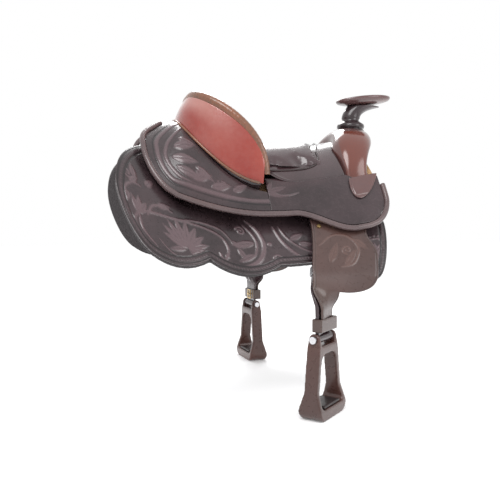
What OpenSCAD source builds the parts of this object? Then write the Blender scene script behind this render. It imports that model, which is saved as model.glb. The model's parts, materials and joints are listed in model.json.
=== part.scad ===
// Western saddle: a tree of two bars, fork, cantle and horn, covered in leather, with skirts,
// jockeys, rigging dees, fenders and stirrups. X points forward, Y to the rider's left, Z up.
// The origin is on top of the channel that the saddle sits over, at its lowest place along X.

/* [Skirts] */
// Length of the skirts, back to front
skirt_len = 608; // [520:1:760]
// Width across both skirts at their lower edge
skirt_span = 470; // [400:1:540]
// Height from the channel's top down to the skirts' lower edge
skirt_drop = 240; // [200:1:290]
// Rise of the skirts' back end over the middle of the channel
rear_rise = 135; // [90:1:165]
// Rise of the skirts' front end over the middle of the channel
front_rise = 50; // [20:1:80]
// Depth of the arches between the skirts' lobes
lobe_depth = 24; // [0:1:34]
// Thickness of the fleece lining
lining_th = 11; // [6:0.5:14]
// Thickness of the skirt leather
skirt_th = 5; // [3:0.5:7]

/* [Seat] */
// Height of the seat's lowest point over the channel
seat_height = 72; // [64:1:90]
// Height of the cantle's top over the channel
cantle_height = 198; // [175:1:225]
// Width across the cantle's ends
cantle_width = 306; // [270:1:340]
// Depth of the cantle's dish, back to front
cantle_dish = 150; // [120:1:180]
// Diameter of the roll along the cantle's edge
roll_d = 20; // [14:1:26]
// Thickness of the jockey leather
jockey_th = 5; // [3:0.5:7]
// Diameter of the raised binding along the jockeys
binding_d = 11; // [8:1:14]

/* [Fork and horn] */
// Width across the fork's swells
fork_width = 250; // [220:1:290]
// Length of the fork at its swells, back to front
fork_length = 90; // [70:1:105]
// Height of the fork's top over the channel
fork_height = 130; // [120:1:145]
// Height of the horn's cap over the channel
horn_height = 216; // [200:1:235]
// Diameter of the horn's neck
neck_d = 44; // [34:1:52]
// Length of the horn's cap, back to front
cap_len = 150; // [90:1:160]
// Width of the horn's cap, side to side
cap_wid = 90; // [80:1:130]

/* [Stirrups] */
// Depth of the stirrups' lowest point under the channel's top
stirrup_low = 515; // [500:1:600]
// Width of a stirrup over its sides at the tread
stirrup_w = 124; // [112:1:150]
// Width of the tread, the way that the foot goes
tread_w = 52; // [46:1:80]
// Turn of the right stirrup out of the fender's plane, in degrees
twist_right = 42; // [0:1:90]
// Turn of the left stirrup out of the fender's plane, in degrees
twist_left = 85; // [0:1:90]
// Width of the stirrup leathers
leather_w = 62; // [50:1:70]
// Thickness of the stirrup leathers and the fenders
leather_th = 4.5; // [3:0.5:5]

/* [Hidden] */
$fn = 48;

leather = "#4a3a3c";
dark_leather = "#33282a";
red_leather = "#7c2a1c";
fleece = "#c9bda6";
wood = "#b08a5a";
steel = "#b9b9bd";
brass = "#b8924a";

// Gap that is left between layers that lie on each other
gap = 0.4;
// Running clearance round a pin, on the radius
run = 0.05;
// The skirts reach this far behind the origin, and front_share of it ahead
front_share = 0.87;
reach = skirt_len / (1 + front_share);
half_span = skirt_span / 2;
// The channel's cross-section falls as this power of the way out from its middle
side_power = 1.6;

// ---- The form: the shape of the back that the saddle fits ----
// A place on it is x along, t out from the middle (0) to the skirts' lower edge (1), and d off it.

function clamp01(a) = max(0, min(1, a));
function smooth(a) = clamp01(a) * clamp01(a) * (3 - 2 * clamp01(a));
function mix(a, b, k) = a + (b - a) * k;
function unit(v) = v / norm(v);
// A quarter round: 0 at 0, and 1 at 1 with an upright end
function quarter(a) = 1 - sqrt(max(0, 1 - a * a));
function ridge(x) = (x < 0 ? rear_rise : front_rise) * pow(x / reach, 2);
function ridge_slope(x) = (x < 0 ? rear_rise : front_rise) * 2 * x / pow(reach, 2);
function fall(t) = skirt_drop * pow(abs(t), side_power);
function fall_slope(t) = skirt_drop * side_power * pow(abs(t), side_power - 1);
// The section's outward normal at t: how far out and how far up
function section_normal(t) = unit([fall_slope(t), half_span]);
// A point on the right-hand side for t above 0, and on the left-hand side below 0
function on_form(x, t, d) =
    let (n = section_normal(t), side = t < 0 ? 1 : -1)
    [x, side * (half_span * abs(t) + n[0] * d), ridge(x) - fall(t) + n[1] * d];

// Stands its children on the right-hand side of the form: X forward, Y up the slope, Z out of it
module at_form(x, t, d) {
    down = unit([0, -half_span, -fall_slope(t)]);
    along = unit([1, 0, ridge_slope(x)]);
    out = unit(cross(down, along));
    up = cross(out, along);
    p = on_form(x, t, d);
    multmatrix([for (k = [0:2]) [along[k], up[k], out[k], p[k]]]) children();
}

// ---- Solids from grids of points ----

// Splits the cell of a grid at row i and place j into two triangles
function cell(i, j, n, at) =
    let (a = at + i * n + j, b = a + n)
    [[a, b, b + 1], [a, b + 1, a + 1]];
function turned(faces) = [for (f = faces) [f[2], f[1], f[0]]];

// The solid between two grids with the same rows and places
module sheet(top, bottom) {
    rows = len(top);
    n = len(top[0]);
    all = rows * n;
    upper = [for (i = [0:rows - 2], j = [0:n - 2]) each cell(i, j, n, 0)];
    lower = [for (i = [0:rows - 2], j = [0:n - 2]) each turned(cell(i, j, n, all))];
    around = concat(
        [for (i = [0:rows - 1]) i * n],
        [for (j = [1:n - 1]) (rows - 1) * n + j],
        [for (i = [rows - 2:-1:0]) i * n + n - 1],
        [for (j = [n - 2:-1:1]) j]
    );
    m = len(around);
    wall = [for (k = [0:m - 1]) let (a = around[k], b = around[(k + 1) % m])
        each [[a, a + all, b + all], [a, b + all, b]]];
    polyhedron(concat([for (r = top) each r], [for (r = bottom) each r]), concat(upper, lower, wall));
}

// The solid through closed rings of points, capped at both ends about the rings' middles
module loft(rings) {
    rows = len(rings);
    n = len(rings[0]);
    mids = [for (r = [rings[0], rings[rows - 1]]) [for (p = r) 1] * r / n];
    side = [for (i = [0:rows - 2], j = [0:n - 1])
        let (a = i * n + j, b = i * n + (j + 1) % n)
        each [[a, a + n, b + n], [a, b + n, b]]];
    first = [for (j = [0:n - 1]) [rows * n, j, (j + 1) % n]];
    last = [for (j = [0:n - 1]) [rows * n + 1, (rows - 1) * n + (j + 1) % n, (rows - 1) * n + j]];
    polyhedron(concat([for (r = rings) each r], mids), concat(side, first, last));
}

// A round tube of radius r along a path, with its rings square to the path
function tube_rings(path, r, sides) = [for (i = [0:len(path) - 1])
    let (
        a = path[max(0, i - 1)],
        b = path[min(len(path) - 1, i + 1)],
        t = unit(b - a),
        u = unit(cross(t, abs(t[2]) > 0.9 ? [1, 0, 0] : [0, 0, 1])),
        v = cross(t, u)
    )
    [for (k = [0:sides - 1]) path[i] + r * (cos(360 * k / sides) * u + sin(360 * k / sides) * v)]];

module left_of() { mirror([0, 1, 0]) children(); }

// ---- Skirts and their lining ----

skirt_low = lining_th + gap;
skirt_top = skirt_low + skirt_th;
// Places of the lobes' middles along the skirt, their half widths, and how far down they reach
rear_lobe = [-0.75 * reach, 0.25 * reach, 1.06];
mid_lobe = [-0.20 * reach, 0.28 * reach, 0.98];
front_lobe = [0.70 * reach, 0.12 * reach, 1.07];
lobe_dt = lobe_depth / (skirt_drop * side_power);
arch_t = 0.985 - lobe_dt;
function lobe(x, l) = l[2] - lobe_dt * pow((x - l[0]) / l[1], 2);
function skirt_edge(x) = max(arch_t, lobe(x, rear_lobe), lobe(x, mid_lobe), lobe(x, front_lobe));
// The skirts part in front, round the opening under the fork
function skirt_inner(x) = 0.03 + 0.14 * smooth((x / reach - 0.42) / 0.4);
// The back edge sweeps out from a notch at the middle, then rounds under into the rear lobe
notch_x = -0.6 * reach;
function skirt_back(v) = v < 0.8
    ? mix(notch_x, -reach, sin(90 * v / 0.8))
    : -reach + 0.22 * reach * quarter((v - 0.8) / 0.2);
function skirt_front(v) = front_share * reach * (v < 0.78
    ? mix(1.03, 1, sin(90 * v / 0.78))
    : 1 - 0.18 * quarter((v - 0.78) / 0.22));
skirt_rows = 28;
skirt_cols = 10;
function skirt_grid(d) = [for (i = [0:skirt_rows]) [for (j = [0:skirt_cols])
    let (v = sin(90 * j / skirt_cols), x = mix(skirt_back(v), skirt_front(v), i / skirt_rows))
    on_form(x, mix(skirt_inner(x), skirt_edge(x), v), d)]];

module skirt_right() {
    color(leather) difference() {
        sheet(skirt_grid(skirt_top), skirt_grid(skirt_low));
        rigging_holes(skirt_low - 2);
    }
}
module skirt_left() { left_of() skirt_right(); }
module skirt_lining_right() { color(fleece) sheet(skirt_grid(lining_th), skirt_grid(0)); }
module skirt_lining_left() { left_of() skirt_lining_right(); }

// ---- Tree: bars, fork and cantle board ----

bar_low = skirt_top + gap;
bar_th = 19;
bar_top = bar_low + bar_th;
bar_in = 0.12;
bar_out = 0.5;
bar_back = -0.66 * reach;
bar_front = 0.89 * reach;
function bar_grid(top) = [for (i = [0:16]) [for (j = [0:8])
    let (u = i / 16, v = j / 8, x = mix(bar_back, bar_front, u), in = max(bar_in, skirt_inner(x)))
    on_form(x, mix(in, bar_out, v), top ? bar_top : bar_low)]];
module tree_bar_right() { color(wood) sheet(bar_grid(true), bar_grid(false)); }
module tree_bar_left() { left_of() tree_bar_right(); }

// The deck is the upper face of the seat and the jockeys, given as its distance off the form
deck_mid_x = 0.12 * reach;
deck_end_d = skirt_top + 6;
deck_side_d = bar_top + 16;
function deck_edge_t(x) = 0.645 + 0.145 * smooth((x / reach - 0.2) / 0.42);
function deck_edge_d(x) =
    let (power = x > deck_mid_x ? 5 : 3)
    mix(deck_end_d, deck_side_d, clamp01(1 - pow(abs(x - deck_mid_x) / (0.9 * reach), power)));
function deck_crest_d(x) = seat_height + 22 * smooth((-x / reach - 0.06) / 0.4)
    - 50 * smooth((-x / reach - 0.5) / 0.3) - 3 * smooth(x / reach);
function deck_d(x, t) =
    mix(deck_crest_d(x), deck_edge_d(x), pow(min(1, abs(t) / deck_edge_t(x)), 2));
function on_deck(x, t, up = 0) = on_form(x, t, deck_d(x, t) + up);

// Fork: an arch over the front of the bars, with swells at its sides
fork_x = 0.86 * reach;
// The fork leans forward: its feet stand this far behind its crest
fork_rake = 34;
fork_in = 0.185;
fork_out = 0.46;
fork_arch = 52;
// The feet are flat from side to side and the bars are round, so they stand a little off them
fork_foot = bar_top + 4.5;
// Two ends of a line through the fork's wall, k of the way over the arch from left (-1) to right (1)
function arch_point(top_x, k, outer, grow) =
    let (
        a = 90 * abs(k),
        x = top_x - fork_rake * pow(sin(a), 2),
        foot = on_form(x, (outer ? fork_out : fork_in) * sign(k == 0 ? 1 : k), fork_foot),
        round = sqrt(max(0, 1 - pow((top_x - fork_x) / (0.62 * fork_length), 2))),
        wide = outer ? fork_width / 2 * mix(0.8, 1, round) : abs(foot[1]),
        high = outer ? mix(fork_height - 26, fork_height, round) : fork_arch + ridge(x),
        lift = foot[2] + (high - foot[2]) * pow(cos(a), outer ? 0.8 : 0.9),
        y = abs(foot[1]) * sin(a) + (wide - abs(foot[1])) * sin(a) * pow(cos(a), 0.35) * 1.35,
        n = unit([0, sin(a) + 0.001, cos(a) + 0.001])
    )
    [x, (k < 0 ? 1 : -1) * (y + n[1] * grow), lift + n[2] * grow];
fork_cols = 20;
function fork_grid(outer, grow, share = 1) = [for (i = [0:8]) [for (j = [0:fork_cols])
    arch_point(fork_x + fork_length * (i / 8 - 0.5), share * (2 * j / fork_cols - 1), outer, grow)]];

horn_x = fork_x + 10;
horn_seat_z = fork_height - 9;
horn_base_r = neck_d / 2 + 12;
module horn_socket(r) { translate([horn_x, 0, horn_seat_z]) cylinder(r = r, h = 60); }
module fork() {
    color(wood) difference() {
        sheet(fork_grid(true, 0), fork_grid(false, 0));
        horn_socket(horn_base_r + gap);
        horn_bolt_places() cylinder(d = bolt_d + 2 * run, h = 60, center = true);
    }
}
cover_th = 3;
module fork_cover() {
    color(leather) difference() {
        sheet(fork_grid(true, gap + cover_th, 0.86), fork_grid(true, gap, 0.86));
        horn_socket(horn_base_r + gap);
    }
}
// The cover's sides come to a drop's point over the jockeys
flap_cols = 8;
function flap_half(v) = 0.4 * fork_length * sqrt(max(0.004, 1 - pow(v, 1.6)));
function flap_grid(up) = [for (i = [0:8]) [for (j = [0:flap_cols])
    let (v = j / flap_cols, x = fork_x - fork_rake - 20 * v + flap_half(v) * (i / 4 - 1))
    on_deck(x, mix(0.505, 0.64, v), up)]];
module fork_flap_right() { color(red_leather) sheet(flap_grid(1 + cover_th), flap_grid(1)); }
module fork_flap_left() { left_of() fork_flap_right(); }
module gullet_liner() {
    color(dark_leather) sheet(fork_grid(false, -gap, 0.8), fork_grid(false, -gap - cover_th, 0.8));
}

// Horn: a core on the fork, with a wrapped neck and a dished cap
bolt_d = 6;
bolt_at = neck_d / 2 + 1.5;
module horn_bolt_places() {
    for (a = [45:90:315])
        translate([horn_x + bolt_at * cos(a), bolt_at * sin(a), horn_seat_z]) children();
}
cap_x = horn_x + 36;
// Rise of the cap towards the front, as a slope
cap_tilt = 0.1;
cap_low = horn_height - 22;
function ellipse_ring(x, z, rx, ry, sides = 32) = [for (k = [0:sides - 1])
    [x + rx * cos(360 * k / sides), ry * sin(360 * k / sides), z]];
wrap_low = horn_seat_z + 13;
wrap_high = wrap_low + 25;
neck_r = neck_d / 2;
module horn_core() {
    color(steel) difference() {
        union() {
            translate([horn_x, 0, horn_seat_z]) cylinder(r = horn_base_r, h = 6);
            translate([horn_x, 0, horn_seat_z]) cylinder(r = neck_r - 4, h = wrap_high - horn_seat_z);
            loft([
                ellipse_ring(horn_x, wrap_high - 1, neck_r - 6, neck_r - 6),
                ellipse_ring(mix(horn_x, cap_x, 0.3), mix(wrap_high, cap_low, 0.45), neck_r - 3, neck_r - 3),
                ellipse_ring(mix(horn_x, cap_x, 0.7), mix(wrap_high, cap_low, 0.7), neck_r + 2, neck_r),
                cap_ring(0.6, -gap),
                cap_ring(0.1, -gap),
            ]);
        }
        horn_bolt_places() cylinder(d = bolt_d + 2 * run, h = 60, center = true);
    }
}
module horn_bolts() {
    color(steel) horn_bolt_places() {
        translate([0, 0, -16]) cylinder(d = bolt_d, h = 22.3);
        translate([0, 0, 6.3]) cylinder(d = 9, h = 4);
    }
}
module horn_neck_wrap() {
    color(leather) translate([horn_x, 0, wrap_low]) difference() {
        cylinder(r = neck_r + 12, h = wrap_high - wrap_low - 2);
        translate([0, 0, -1]) cylinder(r = neck_r - 4 + run * 2, h = 60);
    }
}
// The cap dips in the middle and turns up towards its sides
function cap_ring(k, z) = [for (p = ellipse_ring(0, 0, k * cap_len / 2, k * cap_wid / 2))
    [p[0] + cap_x, p[1], cap_low + z + cap_tilt * p[0]
        + 10 * pow(2 * p[1] / cap_wid, 2) + 8 * pow(2 * p[0] / cap_len, 2)]];
module horn_cap_cover() {
    color(red_leather) loft([
        cap_ring(0.1, 0), cap_ring(0.6, 0), cap_ring(0.92, 0), cap_ring(1, 3),
        cap_ring(1, 9), cap_ring(0.94, 12), cap_ring(0.6, 9), cap_ring(0.1, 7),
    ]);
}

// ---- Cantle: board, back and roll, on one curve over the seat's back ----

cantle_back_x = -0.43 * reach;
cantle_base_x = -0.51 * reach;
cantle_base_t = 0.47;
function base_at(a) =
    [cantle_base_x + (cantle_dish + 22) * (1 - pow(cos(a), 1.5)), cantle_base_t * sin(a)];
cantle_end_z = on_deck(base_at(90)[0], base_at(90)[1])[2] + 10;
// The rim, from the left end (-90) over the top (0) to the right end (90)
function rim(a) = [
    cantle_back_x + cantle_dish * (1 - pow(cos(a), 1.5)),
    -sign(a) * (cantle_width / 2) * pow(abs(sin(a)), 0.625),
    cantle_end_z + (cantle_height - roll_d / 2 - cantle_end_z) * pow(cos(a), 0.625),
];
function wall_out(a) = [-cos(a), -sin(a), 0];
// A point on the cantle, h from its foot (0) over the deck (0.25) to its rim (1), w out of its middle
function on_cantle(a, h, w) =
    let (
        b = base_at(a),
        foot = on_form(b[0], b[1], bar_top + wall_half + 1),
        base = on_deck(b[0], b[1]),
        p = h < 0.25 ? mix(foot, base, h / 0.25) : mix(base, rim(a), (h - 0.25) / 0.75)
    )
    p + w * wall_out(a);
wall_half = 6;
// How far up the wall the roll leaves free
function under_roll(a) =
    let (
        up = rim(a) - on_deck(base_at(a)[0], base_at(a)[1]),
        slant = norm(cross(unit(up), unit(rim(a + 1) - rim(a - 1))))
    )
    1 - 0.75 * (roll_d / 2 + 5) / max(0.35, slant) / norm(up);
cantle_reach = 82;
cantle_cols = 18;
function cantle_grid(w, low) = [for (i = [0:cantle_cols]) [for (j = [0:5])
    let (a = mix(-cantle_reach, cantle_reach, i / cantle_cols))
    on_cantle(a, mix(low, under_roll(a), j / 5), w)]];
module cantle_board() { color(wood) sheet(cantle_grid(-wall_half, 0), cantle_grid(wall_half, 0)); }
back_in = wall_half + gap;
module cantle_back() {
    color(red_leather) sheet(cantle_grid(back_in, 0.29), cantle_grid(back_in + cover_th, 0.29));
}
roll_steps = 32;
module cantle_roll() {
    color(leather) loft(tube_rings([for (k = [0:roll_steps])
        let (s = 2 * k / roll_steps - 1) rim(89.2 * sign(s) * pow(abs(s), 0.6))], roll_d / 2, 10));
}

// ---- Seat: ground seat, foam and cover, inside the cantle's curve ----

seat_t = 0.4;
seat_front_x = fork_x - fork_length / 2 - 4;
// The seat's front edge keeps behind the fork's legs
function seat_front(t) = seat_front_x - fork_rake * smooth(abs(t) / 0.2);
ground_low = bar_top + 6;
ground_th = 3;
// The angle on the cantle's curve that a place across the seat is level with
function seat_angle(t) = asin(max(-1, min(1, t / seat_t)));
function seat_back_x(t) = base_at(seat_angle(t))[0] + 16;
seat_rows = 16;
seat_cols = 16;
function seat_x(i, t) = mix(seat_back_x(t), seat_front(t), pow(i / seat_rows, 1.3));
function seat_place(j) = seat_t * (2 * j / seat_cols - 1);
// The upper face runs with the deck, and climbs to the cantle's rim at the back
function seat_point(i, j, down) =
    let (
        t = seat_place(j),
        a = seat_angle(t),
        high = rim(min(80, max(-80, a))) - 14 * wall_out(a) - [0, 0, 14],
        climb = pow(1 - clamp01(2.2 * i / seat_rows), 2)
    )
    mix(on_deck(seat_x(i, t), t), high, climb) - [0, 0, down];
function seat_layer(d) = [for (i = [0:seat_rows]) [for (j = [0:seat_cols])
    on_form(seat_x(i, seat_place(j)), seat_place(j), d)]];
function seat_top(down) = [for (i = [0:seat_rows]) [for (j = [0:seat_cols]) seat_point(i, j, down)]];
seat_cover_th = 4;
module ground_seat() { color(steel) sheet(seat_layer(ground_low + ground_th), seat_layer(ground_low)); }
module seat_foam() {
    color("#d8c27a") sheet(seat_top(seat_cover_th + gap), seat_layer(ground_low + ground_th + gap));
}
module seat_cover() { color(dark_leather) sheet(seat_top(0), seat_top(seat_cover_th)); }

// ---- Jockeys, and the binding along their edge ----

jockey_split_x = base_at(90)[0] + 4;
// Outer curve of the cantle's base, which the rear jockey stops short of
function behind_cantle(t) =
    let (a = asin(min(1, t / (cantle_base_t + 0.05))))
    cantle_base_x - 14 + (jockey_split_x - cantle_base_x + 14) * (1 - pow(cos(a), 1.5));
function jockey_back(v) = v < 0.6
    ? mix(-0.51 * reach, -0.78 * reach, sin(90 * v / 0.6)) - 18 * (1 - v / 0.6)
    : -0.78 * reach + 0.18 * reach * quarter((v - 0.6) / 0.4);
function jockey_front(v) = v < 0.82
    ? 0.87 * reach
    : 0.87 * reach - 0.16 * reach * quarter((v - 0.82) / 0.18);
function rear_jockey_grid(up) = [for (i = [0:10]) [for (j = [0:10])
    let (
        v = mix(0.015, 1, j / 10),
        x = mix(jockey_back(v), behind_cantle(v * deck_edge_t(0)), i / 10)
    )
    on_deck(x, v * deck_edge_t(x), up)]];
function side_jockey_grid(up) = [for (i = [0:16]) [for (j = [0:8])
    let (
        v = j / 8,
        x0 = mix(jockey_split_x + 1, jockey_front(1), i / 16),
        in = mix(seat_t + 0.015, 0.5, smooth((x0 - seat_front(seat_t) + 40) / 40)) / deck_edge_t(x0),
        w = mix(in, 1, v),
        x = mix(jockey_split_x + 1, jockey_front(w), i / 16)
    )
    on_deck(x, w * deck_edge_t(x), up)]];
module rear_jockey_right() { color(leather) sheet(rear_jockey_grid(0), rear_jockey_grid(-jockey_th)); }
module rear_jockey_left() { left_of() rear_jockey_right(); }
module side_jockey_right() { color(leather) sheet(side_jockey_grid(0), side_jockey_grid(-jockey_th)); }
module side_jockey_left() { left_of() side_jockey_right(); }

// Places (x, v) round the jockeys' edge, from the back middle, down, forward and up at the front
function edge_places() = concat(
    [for (k = [1:12]) let (v = 0.06 + 0.94 * k / 13) [jockey_back(v), v]],
    [for (k = [0:22]) [mix(jockey_back(1), jockey_front(1), k / 22), 1]],
    [for (k = [1:8]) let (v = 1 - 0.28 * k / 8) [jockey_front(v), v]]
);
// The same edge as millimetres along and across the surface, to move off it squarely
function across(x, t) = norm([half_span, fall_slope(t)]);
function binding_path() =
    let (e = edge_places(), n = len(e))
    [for (k = [0:n - 1])
        let (
            a = e[max(0, k - 1)],
            b = e[min(n - 1, k + 1)],
            x = e[k][0],
            t = e[k][1] * deck_edge_t(x),
            m = across(x, t),
            step = [b[0] - a[0], m * (b[1] * deck_edge_t(b[0]) - a[1] * deck_edge_t(a[0]))],
            out = unit([-step[1], step[0]]) * (binding_d / 2 + 1.8)
        )
        on_form(x + out[0], t + out[1] / m, deck_d(x, t) - jockey_th / 2)];
module jockey_binding_right() { color(leather) loft(tube_rings(binding_path(), binding_d / 2, 8)); }
module jockey_binding_left() { left_of() jockey_binding_right(); }

// ---- Rigging: a plate on the skirt with a dee hanging from it ----

dee_x = 0.62 * reach;
dee_t = 0.66;
dee_wire = 5;
dee_r = 26;
tube_wall = 1.8;
dee_lift = dee_wire / 2 + tube_wall + 0.3;
plate_th = 2.5;
dee_tube_len = 34;
// Stands its children on the dee's bar, with X along it
module at_dee() { at_form(dee_x, dee_t, skirt_top + 1.2) translate([0, 0, dee_lift - 1]) children(); }
function rivet_places() = [[-12, 22], [12, 22], [0, 34]];
module rigging_holes(from) {
    at_form(dee_x, dee_t, 0)
        for (p = rivet_places()) translate([p[0], p[1], from]) cylinder(d = 5 + 2 * run, h = 40);
}
module rigging_plate_right() {
    color(steel) difference() {
        at_dee() difference() {
            union() {
                translate([-dee_tube_len / 2, 0, 1 - dee_lift]) cube([dee_tube_len, 44, plate_th]);
                bolt_bore(dee_wire / 2 + tube_wall, dee_tube_len);
            }
            bolt_bore(dee_wire / 2 + run, 100);
        }
        rigging_holes(0);
    }
}
module rigging_plate_left() { left_of() rigging_plate_right(); }
module rigging_rivets_right() {
    color(brass) at_form(dee_x, dee_t, 0) for (p = rivet_places()) translate([p[0], p[1], 0]) {
        translate([0, 0, skirt_low + 0.5]) cylinder(d = 5, h = skirt_th + 4.5);
        translate([0, 0, skirt_top + 1.2 + plate_th + 0.2]) cylinder(d = 9, h = 1.5);
    }
}
module rigging_rivets_left() { left_of() rigging_rivets_right(); }
module rigging_dee_right() {
    color(steel) at_dee() {
        bolt_bore(dee_wire / 2, 2 * dee_r);
        rotate([0, 0, 180]) rotate_extrude(angle = 180) translate([dee_r, 0]) circle(d = dee_wire);
        for (s = [-1, 1]) translate([s * dee_r, 0, 0]) sphere(d = dee_wire);
    }
}
module rigging_dee_left() { left_of() rigging_dee_right(); }

// ---- Leg: stirrup leather and fender on one path down to the stirrup bolt ----

leg_x = 0.415 * reach;
// The leather hangs back by this much on its way down
leg_back = 38;
leg_top_t = 0.585;
leg_d = skirt_top + 10;
bolt_y = half_span + 42;
stirrup_tall = 164;
bolt_z = -(stirrup_low - stirrup_tall + 2);
// The upper half (s to 0.5) follows the form, and the lower half bends down to the bolt
leg_form_end = on_form(leg_x, 1, leg_d);
leg_bend = leg_form_end + 45 * unit([0, -half_span, -fall_slope(1)]);
leg_end = [leg_x - leg_back, -bolt_y, bolt_z];
leg_start = on_form(leg_x, leg_top_t, leg_d);
function leg_plumb(s) = s < 0.5
    ? on_form(leg_x, mix(leg_top_t, 1, 2 * s), leg_d)
    : let (k = 2 * s - 1)
        (1 - k) * (1 - k) * leg_form_end + 2 * k * (1 - k) * leg_bend
            + k * k * [leg_x, -bolt_y, bolt_z];
function leg_point(s) =
    let (p = leg_plumb(s))
    p - [leg_back * smooth((leg_start[2] - 25 - p[2]) / (leg_start[2] - 70 - bolt_z)), 0, 0];
function leg_down(s) = unit(leg_point(min(1, s + 0.01)) - leg_point(max(0, s - 0.01)));
// The strap turns about its own length between these two places, ahead of the hobble strap
twist_from = 0.68;
twist_to = 0.84;
function leg_turn(s, twist) = twist * smooth((s - twist_from) / (twist_to - twist_from));
// The way across the strap, square to its length
function leg_wide(s) = unit([1, 0, 0] - leg_down(s)[0] * leg_down(s));
// A point w forward across the strap and d out of it
function on_leg(s, w, d, twist) =
    let (
        down = leg_down(s),
        wide0 = leg_wide(s),
        out0 = cross(wide0, -down),
        a = leg_turn(s, twist),
        wide = cos(a) * wide0 - sin(a) * out0,
        out = sin(a) * wide0 + cos(a) * out0,
        lift = (ridge(leg_x + w) - ridge(leg_x)) * (1 - smooth((s - 0.3) / 0.3))
    )
    leg_point(s) + w * wide + d * out + [0, 0, lift];
// ---- Leg parts ----

// The strap over the bar, which the stirrup leather hangs from
loop_line = [[0.15, 0], [0.22, 0], [0.3, 0], [0.38, 0], [0.45, 0], [0.505, 0], [0.53, -5], [0.552, -12]];
function loop_grid(up) = [for (i = [0:4]) [for (q = loop_line)
    on_form(leg_x + leather_w * (i / 4 - 0.5), q[0], bar_top + 1 + q[1] + up)]];
module leather_loop_right() { color(dark_leather) sheet(loop_grid(leather_th), loop_grid(0)); }
module leather_loop_left() { left_of() leather_loop_right(); }

pin_r = 5;
sleeve_r = pin_r + run;
loop_r = sleeve_r + leather_th;
strap_steps = 22;
// The strap runs down to the bolt, where it is two layers thick
function strap_grid(d, twist) = [for (i = [0:4]) [for (k = [0:strap_steps])
    on_leg(k / strap_steps, leather_w * (i / 4 - 0.5), d, twist)]];
// Stands its children on the bolt: X along the bolt, Y across it, Z up
module at_bolt(twist) { translate(leg_end) rotate([0, 0, twist]) children(); }
module bolt_bore(r, len) { translate([-len / 2, 0, 0]) rotate([0, 90, 0]) cylinder(r = r, h = len); }
rivet_spots = [[0.07, -17], [0.07, 17], [0.2, -17], [0.2, 17]];
module at_leg(s, w, d) {
    down = leg_down(s);
    wide = leg_wide(s);
    p = on_leg(s, w, d, 0);
    cols = [wide, -down, cross(wide, -down)];
    multmatrix([for (k = [0:2]) [cols[0][k], cols[1][k], cols[2][k], p[k]]]) children();
}
module rivet_bores() {
    for (q = rivet_spots) at_leg(q[0], q[1], 0) translate([0, 0, -8]) cylinder(d = 5 + 2 * run, h = 40);
}
strap_half = leather_th / 2;
module stirrup_leather(twist) {
    color(leather) difference() {
        union() {
            sheet(strap_grid(strap_half, twist), strap_grid(-strap_half, twist));
            at_bolt(twist) bolt_bore(loop_r, leather_w);
        }
        at_bolt(twist) bolt_bore(sleeve_r, leather_w + 20);
        rivet_bores();
    }
}
module stirrup_leather_right() { stirrup_leather(twist_right); }
module stirrup_leather_left() { left_of() stirrup_leather(twist_left); }

// Fender: a strap that widens forward into a rounded lobe, then narrows to its neck
fender_d = strap_half + 4.6;
fender_end = 0.93;
fender_rows = 24;
lobe_reach = 85;
function fender_back(s) = -33 + 3 * smooth((s - 0.5) / 0.2);
// The fender's front edge leans: its lobe is widest near its lower end
lobe_lean = 23;
function fender_front(s) =
    31 + (lobe_reach - lobe_lean * (1 - smooth((s - 0.26) / 0.14))) * smooth((s - 0.04) / 0.16)
    * (s < 0.46 ? 1 : sqrt(max(0, 1 - pow((s - 0.46) / 0.23, 2))));
function fender_grid(d, twist) = [for (i = [0:8]) [for (k = [0:fender_rows])
    let (s = fender_end * k / fender_rows)
    on_leg(s, mix(fender_back(s), fender_front(s), i / 8), d, twist)]];
module fender(twist) {
    color(leather) difference() {
        sheet(fender_grid(fender_d + leather_th, twist), fender_grid(fender_d, twist));
        rivet_bores();
    }
}
module fender_right() { fender(twist_right); }
module fender_left() { left_of() fender(twist_left); }
module fender_rivets_right() {
    color(brass) for (q = rivet_spots) at_leg(q[0], q[1], 0) {
        translate([0, 0, -strap_half + 0.3]) cylinder(d = 5, h = fender_d + leather_th + strap_half + 1);
        translate([0, 0, fender_d + leather_th + 0.9]) cylinder(d = 9, h = 1.6);
    }
}
module fender_rivets_left() { left_of() fender_rivets_right(); }

// Buckle of the stirrup leather: a post plate behind it, held by a sleeve that slides
buckle_s = 0.53;
post_plate_th = 2;
// The plate is flat and the strap behind it is curved
plate_gap = 2;
sleeve_len = 20;
sleeve_wall = 1.2;
sleeve_gap = 1;
module buckle_plate_right() {
    color(steel) at_leg(buckle_s, 0, -strap_half - post_plate_th - plate_gap)
        translate([-leather_w / 2 + 4, -12, 0]) cube([leather_w - 8, 24, post_plate_th]);
}
module buckle_plate_left() { left_of() buckle_plate_right(); }
module buckle_sleeve_right() {
    wide = leather_w + 2 * sleeve_gap;
    low = -strap_half - post_plate_th - plate_gap - sleeve_gap;
    high = strap_half + sleeve_gap;
    color(steel) at_leg(buckle_s, 0, 0) translate([0, -sleeve_len / 2, 0]) difference() {
        translate([-wide / 2 - sleeve_wall, 0, low - sleeve_wall])
            cube([wide + 2 * sleeve_wall, sleeve_len, high - low + 2 * sleeve_wall]);
        translate([-wide / 2, -1, low]) cube([wide, sleeve_len + 2, high - low]);
    }
}
module buckle_sleeve_left() { left_of() buckle_sleeve_right(); }

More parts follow.
